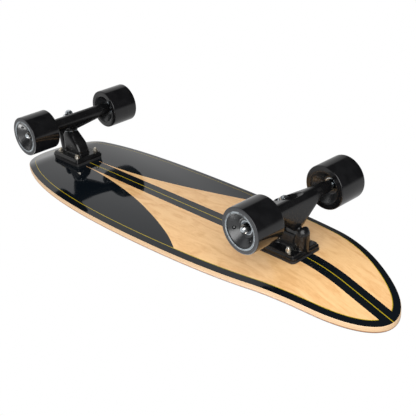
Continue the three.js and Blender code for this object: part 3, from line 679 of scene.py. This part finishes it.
def addTree(piece, tree, values):
    modifier = piece.modifiers.new("tree", "NODES")
    modifier.node_group = tree
    names = {item.name: item.identifier for item in tree.interface.items_tree
             if item.item_type == "SOCKET" and item.in_out == "INPUT"}
    for label, value in values.items():
        modifier[names[label]] = value


def deckSheet(name, tree, low, high, inset, corner, finish):
    lengths = {
        "Length": deck["length"], "Width": deck["width"], "Low": low, "High": high, "Inset": inset,
        "Corner": corner, "Concave Rise": deck["concaveRise"], "Flat Half": deck["flatHalf"],
        "Tail Start": deck["tailStart"], "Tail Radius": deck["tailRadius"], "Nose Start": deck["noseStart"],
        "Nose Radius": deck["noseRadius"],
    }
    piece = addPiece(name, bpy.data.meshes.new(name))
    addTree(piece, tree, {
        **{label: value * mm for label, value in lengths.items()},
        "Waist": deck["waist"], "Flare": deck["flare"], "Waist Place": deck["waistPlace"],
        "Tail Angle": math.radians(deck["tailAngle"]), "Nose Angle": math.radians(deck["noseAngle"]),
        "Around": deck["around"] + 1, "Rows": deck["rows"], "Side Rows": deck["sideRows"], "Finish": finish,
    })
    settle(piece, 50)
    piece.data.transform(shifted(z=deck["bottom"] * mm))
    return piece


# The attribute edgeDistance is metres from the deck's outline, seen from above
def storeEdgeDistance(piece, count=1600, batch=4000):
    angle = np.linspace(0, 2 * math.pi, count, endpoint=False)
    flare = deck["waist"] + deck["flare"] * ((1 - np.cos(angle)) / 2 - deck["waistPlace"]) ** 2
    x, y = -deck["length"] / 2 * np.cos(angle), deck["width"] / 2 * np.sin(angle) * flare
    outline = np.stack([x, y], 1) * mm
    corners = np.zeros(len(piece.data.vertices) * 3)
    piece.data.vertices.foreach_get("co", corners)
    flat = corners.reshape(-1, 3)[:, :2]
    nearest = np.full(len(flat), 1.0)
    for start in range(0, len(flat), batch):
        part = flat[start:start + batch, None, :] - outline[None, :, :]
        nearest[start:start + batch] = np.sqrt((part ** 2).sum(2)).min(1)
    stored = piece.data.attributes.new("edgeDistance", "FLOAT", "POINT")
    stored.data.foreach_set("value", nearest.astype(np.float32))


def boltSpots():
    spots = []
    for end, truck in trucks.items():
        for alongName, along in (("nose", 1), ("tail", -1)):
            for sideName, across in sides.items():
                x = truck["boltMiddle"] + along * bolts["along"] / 2
                spots.append((f"{end}_{alongName}_{sideName}", truck, x, across * bolts["across"] / 2))
    return spots


sheetTree = deckTree()
gripLow = deck["thickness"] + grip["gap"]
gripHigh = gripLow + grip["thickness"]
deckShell = deckSheet("deckShell", sheetTree, 0, deck["thickness"], 0, deck["corner"], maple)
gripSheet = deckSheet("gripSheet", sheetTree, gripLow, gripHigh, grip["inset"], grip["corner"], gritFinish)
storeEdgeDistance(deckShell)
hole = rod(bolts["headRadius"] + gap, grip["holeDeep"], grip["holeHigh"], grip["holeSides"])
cutAway(gripSheet, [(hole, shifted(x, y, gripTop)) for _, _, x, y in boltSpots()], 50)
place(deckShell, "board", "maple_deck", "deck")
place(gripSheet, "board", "grip", "grip_tape")
print("deck and grip tape made:", len(deckShell.data.polygons), len(gripSheet.data.polygons), "faces")


# Mounting bolts and nuts: one of each, repeated on its spots by a node tree

def repeatTree():
    tree, given = newGeometryTree("repeatOnSpots", {
        "Spots": "Geometry", "Piece": "Object", "Seed": "Int", "Finish": "Material"})
    template = fieldOf(tree, "GeometryNodeObjectInfo", {"Object": given["Piece"]}, "Geometry")
    fullTurn = {"Seed": given["Seed"], 3: 2 * math.pi}
    turn = fieldOf(tree, "FunctionNodeRandomValue", fullTurn, 1, data_type="FLOAT")
    rotation = fieldOf(tree, "ShaderNodeCombineXYZ", {"Z": turn})
    instances = fieldOf(tree, "GeometryNodeInstanceOnPoints", {
        "Points": given["Spots"], "Instance": template, "Rotation": rotation})
    return endTree(tree, instances, given["Finish"])


def repeated(name, tree, template, spots, seed):
    mesh = bpy.data.meshes.new(name)
    mesh.from_pydata([Vector(spot) * mm for spot in spots], [], [])
    piece = addPiece(name, mesh)
    addTree(piece, tree, {"Piece": template, "Seed": seed, "Finish": zincSteel})
    settle(piece)
    bpy.data.objects.remove(template)
    return piece


# A locknut in shares of its height and flats: chamfered hexagon, then the collar that holds its ring
locknut = {
    "hexShare": 0.68, "chamferShare": 1.02, "collarShare": 0.88, "slope": 30, "seam": 0.02, "rim": 0.06,
    "ringOuter": 0.3, "ringInner": 0.2, "ringDrop": 0.05, "boreDrop": 0.07, "sides": 72,
}


def nutShape(flats, bore, low, high):
    values = locknut
    hexHigh = low + values["hexShare"] * (high - low)
    chamferRadius = flats / 2 * values["chamferShare"]
    collar = flats / 2 * values["collarShare"]
    slope = math.tan(math.radians(values["slope"]))
    angles = [2 * math.pi * side / values["sides"] for side in range(values["sides"])]
    columns = []
    for angle in angles:
        fromFlat = (angle + math.pi / 6) % (math.pi / 3) - math.pi / 6
        hexRadius = flats / 2 / math.cos((fromFlat + math.pi / 6) % (math.pi / 3) - math.pi / 6)
        fall = max(0.0, hexRadius - chamferRadius) * slope
        cut = min(hexRadius, chamferRadius)
        columns.append([
            (bore, low), (cut, low), (hexRadius, low + fall), (hexRadius, hexHigh - fall), (cut, hexHigh),
            (collar, hexHigh + values["seam"] * flats), (collar, high - values["rim"] * flats),
            (collar - values["rim"] * flats, high), (bore + values["ringOuter"] * (collar - bore), high),
            (bore + values["ringInner"] * (collar - bore), high - values["ringDrop"] * flats),
            (bore, high - values["boreDrop"] * flats),
        ])
    points = [(radius * math.cos(angle), radius * math.sin(angle), height)
              for row in zip(*columns) for angle, (radius, height) in zip(angles, row)]
    count = len(angles)
    return points, ringFaces([list(range(start, start + count)) for start in range(0, len(points), count)])


# A threaded rod's outline: plain rod with fine grooves between two heights
def threadProfile(radius, low, high, pitch=0.8, depth=0.35):
    count = max(1, round((high - low) / pitch))
    profile = []
    for turn in range(count):
        start = low + turn * (high - low) / count
        profile += [(radius, start), (radius - depth, start + (high - low) / count / 2)]
    return profile + [(radius, high)]


repeatOnSpots = repeatTree()
for end, truck in trucks.items():
    nutTop = -truck["riser"] - bolts["plate"]
    nutBottom = nutTop - bolts["nutHeight"]
    low = nutBottom - bolts["tip"]
    top = gripTop - deck["bottom"]
    radius = bolts["radius"]
    spots = [(x, y, deck["bottom"]) for _, owner, x, y in boltSpots() if owner is truck]
    labels = [label for label, owner, _, _ in boltSpots() if owner is truck]
    profile = [
        (0, low), (radius - bolts["chamfer"], low), *threadProfile(radius, low + bolts["chamfer"], nutTop),
        (radius, top - bolts["headDepth"]), (bolts["headRadius"], top - bolts["rim"]),
        (bolts["headRadius"], top), (0, top)]
    bolt = meshFrom("boltTemplate", [(turned(profile, bolts["sides"], closed=False), still)], zincSteel)
    socketRadius = bolts["socketFlats"] / math.sqrt(3)
    socket = [(0, 0), (socketRadius, 0), (socketRadius, bolts["socketCut"]), (0, bolts["socketCut"])]
    cutAway(bolt, [(turned(socket, 6, closed=False), shifted(z=top - bolts["socketDepth"]))])
    nut = nutShape(bolts["nutFlats"], radius + gap, -nutTop, -nutBottom)
    nut = meshFrom("nutTemplate", [(nut, Matrix.Rotation(math.pi, 4, "X"))], zincSteel)
    for kind, template, seed in (("bolt", bolt, bolts["boltSeed"]), ("nut", nut, bolts["nutSeed"])):
        pieces = repeated(f"{end}Mounting{kind.capitalize()}s", repeatOnSpots, template, spots, seed)
        place(pieces, "board", "zinc_steel", *[f"mounting_{kind}_{label}" for label in labels])
print("mounting hardware made")


# Castings: hulls joined and softened as a cast surface, then the machined seats cut in

casting = {
    "voxel": 0.85, "softening": 4, "coarse": 1.1, "rounding": 24, "factor": 0.5, "smooth": 38,
    "tubeSides": 64, "seatSides": 48, "overrun": 4,
}


def softened(piece, voxel, iterations):
    addModifier(piece, "REMESH", mode="VOXEL", voxel_size=voxel * mm)
    addModifier(piece, "SMOOTH", factor=casting["factor"], iterations=iterations)
    return settle(piece)


# Round hulls are softened by themselves first, then joined to the crisp ones
def castPiece(name, roundHulls, crispHulls, cuts, spot):
    core = softened(meshFrom(f"{name}Core", [(shape, spot) for shape in roundHulls], castBlack),
                    casting["coarse"], casting["rounding"])
    piece = meshFrom(name, [(shape, spot) for shape in crispHulls], castBlack)
    whole = bmesh.new()
    whole.from_mesh(piece.data)
    whole.from_mesh(core.data)
    whole.to_mesh(piece.data)
    whole.free()
    bpy.data.objects.remove(core)
    softened(piece, casting["voxel"], casting["softening"])
    cutAway(piece, [(shape, spot @ where) for shape, where in cuts], casting["smooth"])
    return piece


def plateTop(truck):
    return -truck["riser"] - plate["thickness"]


def footHeight(truck):
    return -truck["riser"] - plate["flange"] + plate["step"]


def plateHulls(truck):
    underside = -truck["riser"]
    half, shift = truck["plateHalf"], truck["plateShift"]
    halfWidth, corner, step = plate["halfWidth"], plate["corner"], plate["step"]
    return [
        slab(half, halfWidth, corner, underside - plate["flange"], underside, shift),
        slab(half - step, halfWidth - step, corner - step, plateTop(truck), footHeight(truck), shift),
    ]


# The pivot's post: a thumb with a domed end, on a round foot
def postHull(truck):
    count = casting["seatSides"]
    mouth = -pivot["mouth"] - gap
    footRadius = postRadius + pivot["postFoot"]
    foot = truck["plateShift"] + truck["plateHalf"] - footRadius
    length = pivot["floor"] + pivot["postFloor"] + pivot["postDome"]
    points = circlePoints(footRadius, count, shifted(foot, 0, footHeight(truck)))
    for step in range(pivot["domeSteps"]):
        angle = math.pi / 2 * step / pivot["domeSteps"]
        radius = postRadius * math.cos(angle)
        points += circlePoints(radius, count, steeringPlace(truck, length * math.sin(angle)))
    for step in range(pivot["roundSteps"]):
        angle = math.pi / 2 * step / pivot["roundSteps"]
        radius = postRadius - pivot["postRound"] * (1 - math.cos(angle))
        points += circlePoints(radius, count, steeringPlace(truck, mouth * math.sin(angle)))
    return hull(points)


# The tail edge lists shares of the way from the foot to the ring and up to the seat
frontTower = {
    "halfWidth": 13.2, "foot": -22, "seatMargin": -1, "noseMargin": 1, "corner": 7, "edgeSteps": 6,
    "tailEdge": [(0, 0.04), (0.01, 0.19), (0.17, 0.49), (0.75, 0.84)],
}
rearTower = {
    "halfWidth": 14, "inner": -41, "outer": 2, "seatMargin": 1, "corner": 8,
    "ribInner": -20, "ribFoot": 10.5, "ribTop": 7, "ribRise": 21.5,
}


def stepped(points, steps):
    result = []
    for (alongA, upA), (alongB, upB) in zip(points, points[1:]):
        for step in range(steps):
            share = step / steps
            result.append((alongA + (alongB - alongA) * share, upA + (upB - upA) * share))
    return result + [points[-1]]


def frontTowerHulls(truck, seat):
    values = frontTower
    nose = truck["ringReach"] + boardWasherRadius + values["noseMargin"]
    low = plateTop(truck)
    high = kingpinPlace(truck, seatHeight).translation.z
    points = roundedRectangle(values["foot"], nose, values["halfWidth"], footHeight(truck), values["corner"])
    for along, up in stepped(values["tailEdge"], values["edgeSteps"]):
        reach = values["foot"] + (truck["ringReach"] - values["foot"]) * along
        height = low + (high - low) * up
        points += roundedRectangle(reach, nose, values["halfWidth"], height, values["corner"])
    return [hull(points + seat)]


def rearTowerHulls(truck, seat):
    values = rearTower
    foot, top = footHeight(truck), plateTop(truck) - values["ribRise"]
    inner, outer = values["ribInner"], steeringPlace(truck).translation.x
    saddle = roundedRectangle(values["inner"], values["outer"], values["halfWidth"], foot, values["corner"])
    rib = [*rectanglePoints(inner, outer, values["ribFoot"], foot),
           *rectanglePoints(inner, outer, values["ribTop"], top)]
    return [hull(saddle + seat), hull(rib)]


frontArm = {"clearance": 1.1, "depth": 9.4, "halfWidth": 7}
rearGusset = {"radius": 8, "length": 7}
rearScoop = {"throat": 9, "mouth": 17.5, "spread": 7, "depth": 17, "overrun": 4}


def hangerHulls(truck):
    count = casting["tubeSides"]
    radius = truck["tubeRadius"]
    tubeSpot = axlePlace(truck)
    neck = tubeEnd - tube["neck"]
    profile = [(0, -tubeEnd), (tube["endRadius"], -tubeEnd), (radius, -neck), (radius, neck),
               (tube["endRadius"], tubeEnd), (0, tubeEnd)]
    boss = recessRadius + truck["bossWall"]
    webEnds = [point for side in (-1, 1) for point in circlePoints(
        radius, count, tubeSpot @ shifted(z=side * truck["webHalf"]))]
    bossPoints = [
        *circlePoints(boss, count, kingpinPlace(truck, kingpin["ringHalf"] + kingpin["skirt"])),
        *circlePoints(boss, count, kingpinPlace(truck, -kingpin["ringHalf"] - truck["roadLip"])),
    ]
    stubRadius = pivot["ball"] - pivot["stubWaist"]
    shapes = [moved(turned(profile, count, closed=False), tubeSpot), hull(webEnds + bossPoints)]
    if truck is trucks["front"]:
        length = pivot["stubLength"]
        inner = truck["ringReach"] + boardWasherRadius + frontArm["clearance"]
        top = kingpin["ringHalf"] + kingpin["skirt"] - truck["ringDrop"]
        low = -truck["ringDrop"] - kingpin["ringHalf"]
        shapes.append(hull([
            *rectanglePoints(inner, inner + frontArm["depth"], frontArm["halfWidth"], top),
            *rectanglePoints(inner, truck["ringReach"] + boss, frontArm["halfWidth"], low),
            *circlePoints(stubRadius, count, steeringPlace(truck, -length)),
        ]))
    else:
        length = rearGusset["length"]
        gusset = circlePoints(rearGusset["radius"], count, steeringPlace(truck, -length))
        shapes.append(hull(webEnds + gusset))
    stub = rod(stubRadius, -length - gap, 0, count)
    ball = turned(ballProfile(pivot["ball"]), count, closed=False)
    return shapes, [moved(stub, steeringPlace(truck)), moved(ball, steeringPlace(truck))]


# A cut with round ends, spread to both sides, between two heights with a radius each
def slotHull(ends, spread):
    return hull([point for radius, height in ends for across in (-spread, spread)
                 for point in circlePoints(radius, casting["seatSides"], shifted(0, across, height))])


def hangerCuts(truck):
    count = casting["seatSides"]
    ring = kingpin["ringHalf"]
    lip = ring + truck["roadLip"]
    deep = nutBase + kingpin["nutHeight"] + casting["overrun"] + kingpin["tip"]
    nutRadius = kingpin["nutFlats"] / math.sqrt(3) + truck["nutCut"]
    cuts = [
        rod(recessRadius, ring, ring + kingpin["skirt"] + casting["overrun"], count),
        rod(recessRadius, -roadWasherBase, -ring, count),
        slotHull([(nutRadius, -deep), (nutRadius, -lip)], truck["nutSpread"]),
        rod(kingpin["radius"] + kingpin["boreClearance"], -lip - 1, ring + 1, count),
    ]
    if truck is trucks["rear"]:
        lean = math.radians(truck["lean"])
        reach = truck["axleReach"] - truck["ringReach"]
        along = reach * math.sin(lean) + (axleDrop - truck["ringDrop"]) * math.cos(lean)
        mouth = along + truck["tubeRadius"] + rearScoop["overrun"]
        ends = [(rearScoop["throat"], rearScoop["depth"] - mouth), (rearScoop["mouth"], -mouth)]
        cuts.append(slotHull(ends, rearScoop["spread"]))
    return [(cut, kingpinPlace(truck)) for cut in cuts]


for end, truck in trucks.items():
    home = truckPlace(truck)
    towerHulls, tower = (frontTowerHulls, frontTower) if end == "front" else (rearTowerHulls, rearTower)
    count = casting["seatSides"]
    seat = circlePoints(boardWasherRadius + tower["seatMargin"], count, kingpinPlace(truck, seatHeight))
    cupSeat = rod(postBore, -pivot["mouth"] - casting["overrun"], pivot["floor"] + gap, count)
    roundHulls = towerHulls(truck, seat) + [postHull(truck)]
    basePiece = castPiece(f"{end}BaseplateCasting", roundHulls, plateHulls(truck),
                          [(cupSeat, steeringPlace(truck))], home)
    place(basePiece, "board", "truck_black", f"{end}_baseplate")
    hangerBody, pivotParts = hangerHulls(truck)
    hangerPiece = castPiece(f"{end}HangerCasting", hangerBody, pivotParts, hangerCuts(truck), home)
    place(hangerPiece, f"{end}_hanger_assembly", "truck_black", f"{end}_hanger")
    print(end, "castings made:", len(basePiece.data.polygons), len(hangerPiece.data.polygons), "faces")


# Riser pads, pivot cups, kingpins and their rings

ringForm = {"boreEdge": 0.5, "lip": 1.0, "edge": 0.3, "edgeWidth": 0.5, "dishEdge": 0.5}
cupForm = {"socket": 2.5, "mouth": 0.6, "rim": 0.8, "edge": 0.5, "sides": 48}
pinBore = kingpin["radius"] + gap


def bushingShape(lowRadius, highRadius, height):
    edge, lip = ringForm["boreEdge"], ringForm["lip"]
    profile = [(pinBore, 0, edge), (lowRadius, 0, lip), (highRadius, height, lip), (pinBore, height, edge)]
    return turned(rounded(profile), kingpin["ringSides"])


def cupWasherShape(radius):
    profile = [
        (pinBore, 0), (radius - ringForm["edgeWidth"], 0, ringForm["edge"]),
        (radius, kingpin["dish"] / 2, ringForm["edge"]),
        (radius - kingpin["dish"], kingpin["washer"], ringForm["dishEdge"]), (pinBore, kingpin["washer"])]
    return turned(rounded(profile), kingpin["ringSides"])


def pivotCupShape():
    inner = pivot["ball"] + gap
    profile = [
        (0, pivot["floor"]), (0, inner), (inner, inner, cupForm["socket"]),
        (inner, -pivot["mouth"], cupForm["mouth"]), (cupRadius, -pivot["mouth"], cupForm["rim"]),
        (cupRadius, pivot["floor"], cupForm["edge"])]
    return turned(rounded(profile, closed=False), cupForm["sides"])


def kingpinShape():
    high = seatHeight + kingpin["embed"] - gap
    radius = kingpin["radius"]
    profile = [(0, pinLow), (radius - kingpin["chamfer"], pinLow),
               *threadProfile(radius, pinLow + kingpin["chamferLength"], -nutBase), (radius, high), (0, high)]
    return turned(profile, kingpin["sides"], closed=False)


def axleShape():
    radius, chamfer = axle["radius"], axle["chamfer"]
    spacer = radius + axle["spacerWall"]
    washerLow = tubeEnd + gap
    axleEnd = axleNutReach + axle["nutHeight"] + axle["tip"]
    half = []
    for low, high in ((washerLow, washerLow + axle["washer"]),
                      (innerBearing + gap, outerBearing - wheel["bearingWidth"] - gap)):
        half += [(radius, low), (spacer, low), (spacer, high), (radius, high)]
    half += threadProfile(radius, axleNutReach, axleEnd - chamfer)
    half += [(radius - chamfer, axleEnd), (0, axleEnd)]
    mirrored = [(radius, -reach) for radius, reach in half][::-1]
    return turned(mirrored + half, axle["sides"], closed=False)


for end, truck in trucks.items():
    home = truckPlace(truck)
    pinSpot = home @ kingpinPlace(truck)
    under = Matrix.Rotation(math.pi, 4, "X")
    margin = truck["riserMargin"]
    pad = slab(truck["plateHalf"] + margin, plate["halfWidth"] + margin, plate["corner"] + margin,
               -truck["riser"], 0, truck["plateShift"])
    padPiece = meshFrom(f"{end}RiserPad", [(pad, home)], rubberBlack)
    addModifier(padPiece, "BEVEL", width=plate["padBevel"] * mm, segments=2, limit_method="ANGLE",
                angle_limit=math.radians(plate["padAngle"]))
    place(settle(padPiece), "board", "rubber", f"{end}_riser_pad")

    nut = nutShape(kingpin["nutFlats"], pinBore, nutBase, nutBase + kingpin["nutHeight"])
    for name, node, shape, spot, finish, slotName in (
            ("PivotCup", "pivot_cup", pivotCupShape(), home @ steeringPlace(truck), rubberBlack, "rubber"),
            ("KingpinStud", "kingpin", kingpinShape(), pinSpot, brightSteel, "bright_steel"),
            ("KingpinNut", "kingpin_nut", nut, pinSpot @ under, brightSteel, "bright_steel"),
            ("BoardSideWasher", "board_side_washer", cupWasherShape(boardWasherRadius),
             pinSpot @ shifted(z=boardWasherBase), brightSteel, "bright_steel"),
            ("RoadSideWasher", "road_side_washer", cupWasherShape(truck["roadWasher"]),
             pinSpot @ shifted(z=-roadWasherBase) @ under, brightSteel, "bright_steel")):
        place(meshFrom(end + name, [(shape, spot)], finish), "board", slotName, f"{end}_{node}")
    axlePiece = meshFrom(f"{end}AxleRod", [(axleShape(), home @ axlePlace(truck))], brightSteel)
    place(axlePiece, f"{end}_hanger_assembly", "bright_steel", f"{end}_axle")

    # Each bushing is a turned ring on the kingpin, between its washer's end, on the board, and its ring's
    # end, on the hanger
    ring = kingpin["ringHalf"] + gap
    board, road = kingpin["boardHeight"], kingpin["roadHeight"]
    for label, shape, base, fixedHeight, movingHeight in (
            ("board", bushingShape(kingpin["boardRadius"], kingpin["boardRadius"], board), ring, board, 0),
            ("road", bushingShape(truck["roadTip"], truck["roadRadius"], road), -ring - road, 0, road)):
        spot = pinSpot @ shifted(z=base)
        piece = meshFrom(f"{end}{label.capitalize()}SideBushing", [(shape, spot)], bushingBlack)
        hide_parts(f"{end}_{label}_side_bushing")
        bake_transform(piece)
print("kingpin stacks and axles made")


# Wheels

coreForm = {
    "fit": 0.02, "step": 0.2, "seatEdge": 0.2, "steps": 3,
    "hubFillet": 1.0, "hubSlope": 1.4, "hubDepth": 1.8, "slopeFillet": 1.2,
    "rimOuter": 1.3, "rimInner": 1.6, "rimDepth": 0.9, "rimFillet": 0.8, "rimEdge": 0.3,
}
bearingForm = {
    "boreClearance": 0.1, "recess": 0.45, "innerWall": 1.9, "outerWall": 1.5, "slant": 0.1, "boreEdge": 0.3,
    "outerEdge": 0.4, "steps": 3,
}
wheelTurns = {"front_right": 200, "front_left": 40, "rear_right": 130, "rear_left": 75}
dimple = {"count": 3, "radius": 3.0, "place": 19.0, "height": 5.2, "sides": 24}


def storeWheelCoordinates(piece, truck, outward):
    back = (Matrix.Scale(mm, 4) @ wheelPlace(truck, outward)).inverted()
    radii = []
    reaches = []
    for corner in piece.data.vertices:
        point = back @ corner.co
        radii.append(math.hypot(point.x, point.y) * mm)
        reaches.append(point.z * mm)
    for label, values in (("wheelRadius", radii), ("wheelReach", reaches)):
        piece.data.attributes.new(label, "FLOAT", "POINT").data.foreach_set("value", values)


def tyreShape():
    low, high, edge = wheel["reach"] - wheel["width"], wheel["reach"], wheel["coreEdge"]
    core, radius, lip = wheel["coreRadius"], wheel["radius"], wheel["lip"]
    profile = [(core, low, edge), (radius, low, lip), (radius, high, lip), (core, high, edge)]
    return turned(rounded(profile, steps=wheel["lipSteps"]), wheel["sides"])


def coreShape():
    form = coreForm
    outer = wheel["coreRadius"] - form["fit"]
    seat = wheel["bearingRadius"] + form["fit"]
    hub = wheel["bearingRadius"] + wheel["seatWall"]
    shoulder = wheel["bearingRadius"] - wheel["shoulder"]
    low, high = wheel["reach"] - wheel["width"] + wheel["coreInset"], wheel["reach"] - wheel["coreInset"]
    innerLow = innerBearing - wheel["bearingWidth"]
    outerLow = outerBearing - wheel["bearingWidth"]
    step, slope, depth = form["step"], hub + form["hubSlope"], form["hubDepth"]
    return turned(rounded([
        (hub, innerLow - step, form["hubFillet"]), (slope, innerLow - depth, form["slopeFillet"]),
        (outer - form["rimInner"], low + form["rimDepth"], form["rimFillet"]),
        (outer - form["rimOuter"], low, form["rimEdge"]), (outer, low),
        (outer, high), (outer - form["rimOuter"], high, form["rimEdge"]),
        (outer - form["rimInner"], high - form["rimDepth"], form["rimFillet"]),
        (slope, outerBearing + depth, form["slopeFillet"]), (hub, outerBearing + step, form["hubFillet"]),
        (seat, outerBearing + step, form["seatEdge"]), (seat, outerLow), (shoulder, outerLow),
        (shoulder, innerBearing), (seat, innerBearing), (seat, innerLow - step, form["seatEdge"]),
    ], steps=form["steps"]), wheel["coreSides"])


def bearingShape(high):
    form = bearingForm
    low = high - wheel["bearingWidth"]
    outer, bore = wheel["bearingRadius"], axle["radius"] + form["boreClearance"]
    inWall, outWall = bore + form["innerWall"], outer - form["outerWall"]
    sunk = form["recess"]
    inFoot, outFoot = inWall + form["slant"], outWall - form["slant"]
    return turned(rounded([
        (bore, low, form["boreEdge"]), (inWall, low), (inFoot, low + sunk), (outFoot, low + sunk),
        (outWall, low), (outer, low, form["outerEdge"]), (outer, high, form["outerEdge"]), (outWall, high),
        (outFoot, high - sunk), (inFoot, high - sunk), (inWall, high), (bore, high, form["boreEdge"]),
    ], steps=form["steps"]), wheel["bearingSides"])


def dimples(spot):
    ball = turned(ballProfile(dimple["radius"]), dimple["sides"], closed=False)
    middle = shifted(dimple["place"], 0, outerBearing + dimple["height"])
    angles = [2 * math.pi * number / dimple["count"] for number in range(dimple["count"])]
    return [(ball, spot @ Matrix.Rotation(angle, 4, "Z") @ middle) for angle in angles]


for end, truck in trucks.items():
    for side, outward in sides.items():
        label = f"{end}_{side}"
        name = f"{end}{side.capitalize()}"
        spot = wheelPlace(truck, outward)
        turnedSpot = spot @ Matrix.Rotation(math.radians(wheelTurns[label]), 4, "Z")
        tyrePiece = meshFrom(f"{name}Tyre", [(tyreShape(), spot)], urethane, wheel["smooth"])
        corePiece = meshFrom(f"{name}Core", [(coreShape(), spot)], nylonBlack, wheel["smooth"])
        cutAway(corePiece, dimples(turnedSpot), wheel["smooth"])
        inner = meshFrom(f"{name}InnerBearing", [(bearingShape(innerBearing), spot)], bearingSteel)
        outer = meshFrom(f"{name}OuterBearing", [(bearingShape(outerBearing), spot)], bearingSteel)
        for piece, node, slotName in (
                (tyrePiece, "wheel_tyre", "wheel_urethane"), (corePiece, "wheel_core", "wheel_core"),
                (inner, "inner_bearing", "bright_steel"), (outer, "outer_bearing", "bright_steel")):
            storeWheelCoordinates(piece, truck, outward)
            place(piece, f"{label}_wheel", slotName, f"{label}_{node}")
        nut = nutShape(axle["nutFlats"], axle["radius"] + axle["nutClearance"], axleNutReach,
                       axleNutReach + axle["nutHeight"])
        nutPiece = meshFrom(f"{name}AxleNut", [(nut, turnedSpot)], nutSteel)
        place(nutPiece, f"{end}_hanger_assembly", "bright_steel", f"{label}_axle_nut")
print("wheels made")


# Camera, as fitted to the photograph: places in millimetres, focal length and middle in picture points

cameraValues = {
    "place": (-984.2, -812.4, -514.75), "right": (-0.679059, 0.731312, 0.063730),
    "down": (-0.288834, -0.345989, 0.892674), "ahead": (0.674873, 0.587771, 0.446175),
    "focal": 855.679, "middle": (1.964, -3.234), "picture": 416, "sensor": 36, "clip": 0.01,
}
cameraData = bpy.data.cameras.new("camera")
cameraData.sensor_width = cameraValues["sensor"]
cameraData.lens = cameraValues["focal"] / cameraValues["picture"] * cameraValues["sensor"]
cameraData.shift_x, cameraData.shift_y = (value / cameraValues["picture"] for value in cameraValues["middle"])
cameraData.clip_start = cameraValues["clip"]
camera = addPiece("camera", cameraData)
right, down, ahead = (Vector(cameraValues[key]) for key in ("right", "down", "ahead"))
turn = Matrix((right, -down, -ahead)).transposed().to_4x4()
camera.matrix_world = Matrix.Translation(Vector(cameraValues["place"]) * mm) @ turn
bpy.context.scene.camera = camera


# Light: a pale room brighter towards the photograph's camera, a lamp on each side of the board,
# and a floor seen only from above. Mirror rays meet a dark room with a pale backdrop and ceiling.

light = {
    "world": 0.42, "lean": 0.8, "leanTo": (-0.675, -0.588, -0.446), "mirrorDark": 0.045,
    "backdropFrom": 0.41, "backdropTo": 0.51, "backdropLow": 0.16, "backdropRise": 0.68,
    "farFrom": 0.62, "farTo": 0.86, "ceilingFrom": -0.05, "ceilingTo": 0.2, "ceilingGlow": 0.6,
    "lampSheen": 0.8,
    "below": {"place": (-1.6, -1.4, -1.06), "size": 2.2, "power": 66},
    "above": {"place": (0.7, -0.9, 2.2), "size": 1.4, "power": 42},
}
white = (1, 1, 1, 1)


def areaLamp(name, values):
    data = bpy.data.lights.new(name, "AREA")
    data.size = values["size"]
    data.energy = values["power"]
    data.specular_factor = light["lampSheen"]
    lamp = addPiece(name, data)
    lamp.location = values["place"]
    lamp.rotation_euler = (-lamp.location).to_track_quat("-Z", "Y").to_euler()


areaLamp("lampBelow", light["below"])
areaLamp("lampAbove", light["above"])

world = bpy.data.worlds.new("paleRoom")
world.use_nodes = True
bpy.context.scene.world = world
tree = world.node_tree
eastward, northward, upward = split(fieldOf(tree, "ShaderNodeTexCoord", (), "Generated"))
onBackdrop = between(eastward, light["backdropFrom"], light["backdropTo"], smooth=True)
besideBackdrop = between(northward, light["farFrom"], light["farTo"], 1.0, 0.0, smooth=True)
backdrop = onBackdrop * (eastward * light["backdropRise"] + light["backdropLow"]) * besideBackdrop
ceiling = between(upward, light["ceilingFrom"], light["ceilingTo"], 0.0, light["ceilingGlow"], smooth=True)
mirrorLight = (backdrop | ceiling) + light["mirrorDark"]
leanX, leanY, leanZ = light["leanTo"]
leaning = eastward * leanX + northward * leanY + upward * leanZ
plainLight = (leaning * light["lean"] + 1.0) * light["world"]
path = addNode(tree, "ShaderNodeLightPath")
cameraRay, glossyRay, clearRay = (
    Field(path.outputs[name]) for name in ("Is Camera Ray", "Is Glossy Ray", "Is Transmission Ray"))
plainRay = (-(cameraRay + glossyRay + clearRay) + 1.0).atLeast(0.0)
strength = cameraRay + clearRay + glossyRay * mirrorLight + plainRay * plainLight
dress(tree.nodes["Background"], {"Color": white, "Strength": strength})


# The floor fades to plain white away from the board

floorValues = {
    "half": 6, "drop": 0.0005, "colour": (0.85, 0.85, 0.85, 1), "roughness": 0.9,
    "fadeFrom": 0.6, "fadeTo": 1.8, "nearGlow": 1.3, "nearShare": 0.5,
}
half = floorValues["half"]
floorMesh = bpy.data.meshes.new("floor")
floorCorners = [(-half, -half, 0), (half, -half, 0), (half, half, 0), (-half, half, 0)]
floorMesh.from_pydata(floorCorners, [], [[0, 1, 2, 3]])
floor = addPiece("floor", floorMesh)
floor.location.z = -floorValues["drop"]
floorMaterial, shader, coordinates = newMaterial("paleFloor")
tree = coordinates.tree
dress(shader, {
    "Base Color": floorValues["colour"], "Roughness": floorValues["roughness"], "Specular IOR Level": 0.0})
behind = fieldOf(tree, "ShaderNodeNewGeometry", (), "Backfacing")
seen = fieldOf(tree, "ShaderNodeLightPath", (), "Is Camera Ray") * (-behind + 1.0)
spread = fieldOf(tree, "ShaderNodeVectorMath", {0: coordinates}, "Value", operation="LENGTH")
farShare = between(spread, floorValues["fadeFrom"], floorValues["fadeTo"], smooth=True)
glow = fieldOf(tree, "ShaderNodeEmission", {
    "Color": white, "Strength": between(farShare, 0.0, 1.0, floorValues["nearGlow"], 1.0)})
glowShare = between(farShare, 0.0, 1.0, floorValues["nearShare"], 1.0)
lit = fieldOf(tree, "ShaderNodeMixShader", {0: glowShare, 1: Field(shader.outputs[0]), 2: glow})
clear = fieldOf(tree, "ShaderNodeBsdfTransparent")
whole = fieldOf(tree, "ShaderNodeMixShader", {0: seen, 1: clear, 2: lit})
dress(tree.nodes["Material Output"], {"Surface": whole})
floorMesh.materials.append(floorMaterial)

bpy.context.scene.view_settings.view_transform = "Standard"
print("camera, lamps and floor made")
